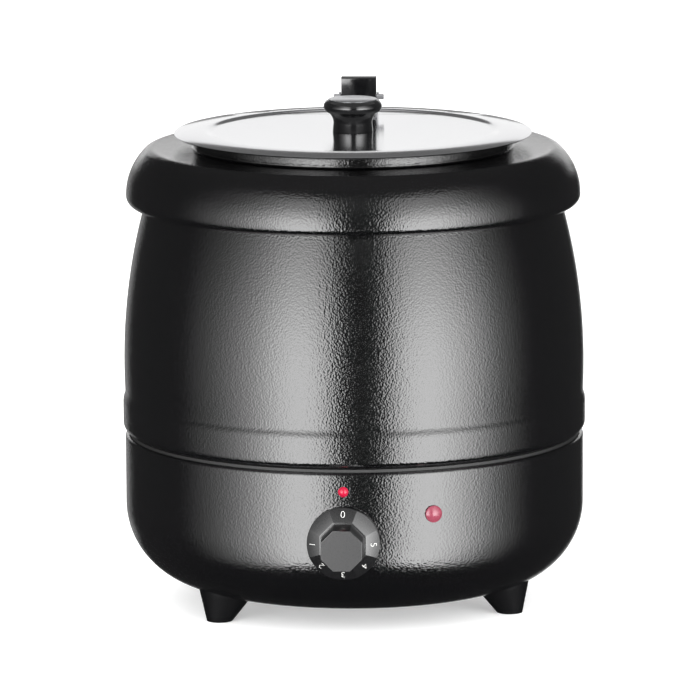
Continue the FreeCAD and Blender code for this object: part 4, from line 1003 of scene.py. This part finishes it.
@dataclass(frozen=True)
class LightPanel:
    """A soft light that faces the kettle from an arc round it or from above, even or fading to its edges."""

    name: str
    radiance: float
    falls_on: Falls
    first: float
    last: float
    low_m: float
    high_m: float
    reach_m: float = 2.1
    by_bearing: Stops = ()
    by_height: Stops = ()
    overhead: bool = False

    def build(self, receivers: Receivers) -> None:
        """Hang the panel where the camera doesn't see it.

        Args:
            receivers: The pieces that a panel may be kept to.
        """
        middle = (self.first + self.last) / 2.0
        width = 2.0 * self.reach_m * math.tan(math.radians(self.last - self.first) / 2.0)
        height = self.high_m - self.low_m
        lamp = bpy.data.lights.new(self.name, "AREA")
        lamp.shape = "RECTANGLE"
        lamp.size, lamp.size_y = width, height
        lamp.energy = self.radiance * math.pi * width * height
        if self.by_bearing and self.by_height:
            self.fade(lamp, [(0.5 + math.tan(math.radians(bearing - middle)) * self.reach_m / width, level)
                             for bearing, level in self.by_bearing],
                      [(max(0.0, (rise - self.low_m) / height), level) for rise, level in self.by_height])
        holder = stand(self.name, lamp)
        holder.matrix_world = (Matrix.Translation((0.0, 0.0, self.reach_m)) if self.overhead
                               else outward(self.reach_m, middle, self.low_m + height / 2.0))
        holder.visible_camera = False
        holder.light_linking.receiver_collection = receivers[self.falls_on]

    def fade(self, lamp: bpy.types.Light, across: Stops, up: Stops) -> None:
        """Let the light fade across and up its face.

        Args:
            lamp: The light.
            across: Places from 0 to 1 with their brightness.
            up: The same, from the lower edge.
        """
        lamp.use_nodes = True
        tree = lamp.node_tree
        face = add_node(tree, "ShaderNodeNewGeometry").outputs["Parametric"]
        parts = add_node(tree, "ShaderNodeSeparateXYZ", {"Vector": face}).outputs
        both = add_node(tree, "ShaderNodeMath", {
            0: grey_ramp(tree, parts["X"], across), 1: grey_ramp(tree, parts["Y"], up)}, operation="MULTIPLY")
        feed(tree, tree.nodes["Emission"], {"Strength": both})


# The front panels' brightness by height in metres: full at the floor, dimmer from the kettle's top up
FRONT_RISE: Stops = ((-2.0, 1.0), (0.1, 1.0), (0.3, 0.92), (0.46, 0.84), (0.66, 0.64), (0.96, 0.53),
                     (1.2, 0.34), (1.5, 0.3), (1.9, 0.27), (2.25, 0.13), (2.6, 0.03), (2.9, 0.0))
# Their brightness by bearing in degrees, as the jacket's reflections show it
LEFT_SWEEP: Stops = ((-86.0, 0.02), (-75.0, 0.06), (-63.0, 0.15), (-51.0, 0.32), (-40.5, 0.58), (-32.5, 0.9),
                     (-24.5, 1.0), (-17.5, 0.97), (-11.0, 0.8), (-7.0, 0.38), (-4.0, 0.0))
RIGHT_SWEEP: Stops = ((16.0, 0.0), (20.0, 0.38), (25.5, 0.85), (32.5, 1.0), (43.5, 1.0), (53.5, 0.76),
                      (65.5, 0.4), (77.5, 0.13), (92.0, 0.02))
# Their first and last bearing, and the fade between
FRONT_SIDES = {"left": (-86.0, -2.0, LEFT_SWEEP), "right": (10.0, 94.0, RIGHT_SWEEP)}
# Their brightness on each kind of finish, and their lower edge in metres
FRONT_PANELS = {Falls.PAINT: (3.15, -2.0), Falls.REST: (12.5, -0.7), Falls.METAL: (1.4, -2.0)}
FRONT_TOP = 2.9
# A weak fill above the camera, by the finish that it falls on
FRONT_FILLS = {"front_fill": (0.04, Falls.PAINT), "front_fill_unpainted": (0.45, Falls.UNPAINTED)}
# A low strip behind the kettle, which draws the jacket's lower edge
STRIP_SWEEP: Stops = ((166.0, 0.0), (174.0, 1.0), (186.0, 1.0), (194.0, 0.0))
STRIP_RISE: Stops = ((-0.9, 0.0), (-0.5, 1.0), (0.2, 1.0), (0.5, 0.0))


@dataclass
class Studio:
    """The pale floor, the soft lights and the camera."""

    picture: int = 700
    bearing: float = 2.8
    reach_m: float = 5.22
    eye_m: float = 1.11
    pixels_per_radian: float = 7208.0
    dip: float = 10.03
    side_px: float = 4.0
    sensor_mm: float = 36.0
    roll: float = 0.3
    sight_m: float = 100.0
    floor_m: float = 16.0
    floor_drop_m: float = 0.0002
    room_light: float = 1.3
    ground_shine: float = 0.008
    level_shine: float = 0.038
    sky_shine: float = 0.07
    level_from: float = 0.45
    level_to: float = 0.72
    panels: tuple[LightPanel, ...] = (
        *(LightPanel(f"{side}_front_{kind.value}", radiance, kind, first, last, low, FRONT_TOP,
                     by_bearing=sweep, by_height=FRONT_RISE)
          for side, (first, last, sweep) in FRONT_SIDES.items()
          for kind, (radiance, low) in FRONT_PANELS.items()),
        *(LightPanel(name, radiance, kind, first=-22.0, last=34.0, low_m=0.9, high_m=2.4)
          for name, (radiance, kind) in FRONT_FILLS.items()),
        LightPanel("back_strip", 1.6, Falls.PAINT, first=166.0, last=194.0, low_m=-0.9, high_m=0.5,
                   by_bearing=STRIP_SWEEP, by_height=STRIP_RISE),
        LightPanel("left_rim", 0.35, Falls.PAINT, first=-166.0, last=-150.0, low_m=-0.6, high_m=0.6),
        LightPanel("back_wall", 0.92, Falls.ALL, first=157.0, last=203.0, low_m=0.3, high_m=2.2, reach_m=6.0),
        *(LightPanel(f"room_{bearing}", 0.11, Falls.UNPAINTED, bearing - 45.0, bearing + 45.0, low_m=-0.2,
                     high_m=4.5, reach_m=4.5) for bearing in (0, 90, 180, 270)),
        LightPanel("ceiling", 0.5, Falls.UNPAINTED, -45.0, 45.0, low_m=-4.0, high_m=4.0, reach_m=4.0,
                   overhead=True),
    )

    def build(self) -> None:
        """Set the floor, the lights and the camera."""
        self.floor()
        self.lights()
        self.camera()

    def floor(self) -> None:
        """A wide pale sheet under the feet."""
        work = bmesh.new()
        bmesh.ops.create_grid(work, x_segments=2, y_segments=2, size=self.floor_m / 2.0)
        bmesh.ops.translate(work, verts=work.verts, vec=(0, 0, -self.floor_drop_m))
        mesh = mesh_of(work, "floor")
        mesh.materials.append(TABLE_SHEET.material())
        sheet = stand("floor", mesh)
        sheet.visible_glossy = False
        sheet.visible_shadow = False

    def receivers(self) -> Receivers:
        """Sort what stands in the scene by its finish.

        Returns:
            A collection for each kind of finish.
        """
        groups = {kind: bpy.data.collections.new(kind.value) for kind in Falls}
        metals = {slot.finish.name for slot in Slot if slot.finish.metallic > 0.0}
        for piece in bpy.context.scene.objects:
            if piece.type != "MESH":
                continue
            skins = {skin.name for skin in piece.data.materials if skin}
            kinds = [Falls.PAINT] if Slot.HAMMERTONE.finish.name in skins else [
                Falls.UNPAINTED, Falls.METAL if skins & metals else Falls.REST]
            for kind in (Falls.ALL, *kinds):
                groups[kind].objects.link(piece)
        return groups

    def lights(self) -> None:
        """Stand the panels round the kettle and give the room its own pale light."""
        receivers = self.receivers()
        for panel in self.panels:
            panel.build(receivers)
        world = bpy.data.worlds.new("room")
        world.use_nodes = True
        tree = world.node_tree
        tree.nodes.clear()
        aim = add_node(tree, "ShaderNodeTexCoord").outputs["Generated"]
        height = add_node(tree, "ShaderNodeSeparateXYZ", {"Vector": aim}).outputs["Z"]
        share = add_node(tree, "ShaderNodeMapRange", {"Value": height, "From Min": -1.0})
        mirrored = grey_ramp(tree, share, ((0.0, self.ground_shine), (self.level_from, self.level_shine),
                                           (self.level_to, self.level_shine), (1.0, self.sky_shine)))
        seen = add_node(tree, "ShaderNodeBackground", {"Strength": self.room_light})
        gloss = add_node(tree, "ShaderNodeBackground", {"Color": mirrored})
        path = add_node(tree, "ShaderNodeLightPath").outputs["Is Glossy Ray"]
        both = add_node(tree, "ShaderNodeMixShader", {0: path, 1: seen, 2: gloss})
        add_node(tree, "ShaderNodeOutputWorld", {"Surface": both})
        bpy.context.scene.world = world

    def camera(self) -> None:
        """Stand the camera where the photograph was taken from."""
        dip, place = math.radians(self.dip), outward(self.reach_m, self.bearing, self.eye_m)
        right, out = place.col[0].xyz, place.col[2].xyz
        ahead = -out * math.cos(dip) - Vector((0, 0, 1)) * math.sin(dip)
        ahead = (ahead - right * (self.side_px / self.pixels_per_radian)).normalized()
        right = ahead.cross(Vector((0, 0, 1))).normalized()
        lens = bpy.data.cameras.new("photo_view")
        lens.sensor_width = self.sensor_mm
        lens.lens = self.sensor_mm * self.pixels_per_radian / self.picture
        lens.clip_end = self.sight_m
        holder = stand("photo_view", lens)
        axes = Matrix((right, right.cross(ahead), -ahead)).transposed().to_4x4()
        roll = Matrix.Rotation(math.radians(-self.roll), 4, "Z")
        holder.matrix_world = Matrix.Translation(place.translation) @ axes @ roll
        bpy.context.scene.camera = holder
        bpy.context.scene.view_settings.view_transform = "Standard"


def main() -> None:
    """Build every sub-assembly in order."""
    logging.basicConfig(level=logging.INFO, format="%(name)s %(message)s")
    for part in (Jacket(), WaterBath(), Lid(), Controls(), Underside(), Studio()):
        part.build()


if __name__ == "__main__":
    main()
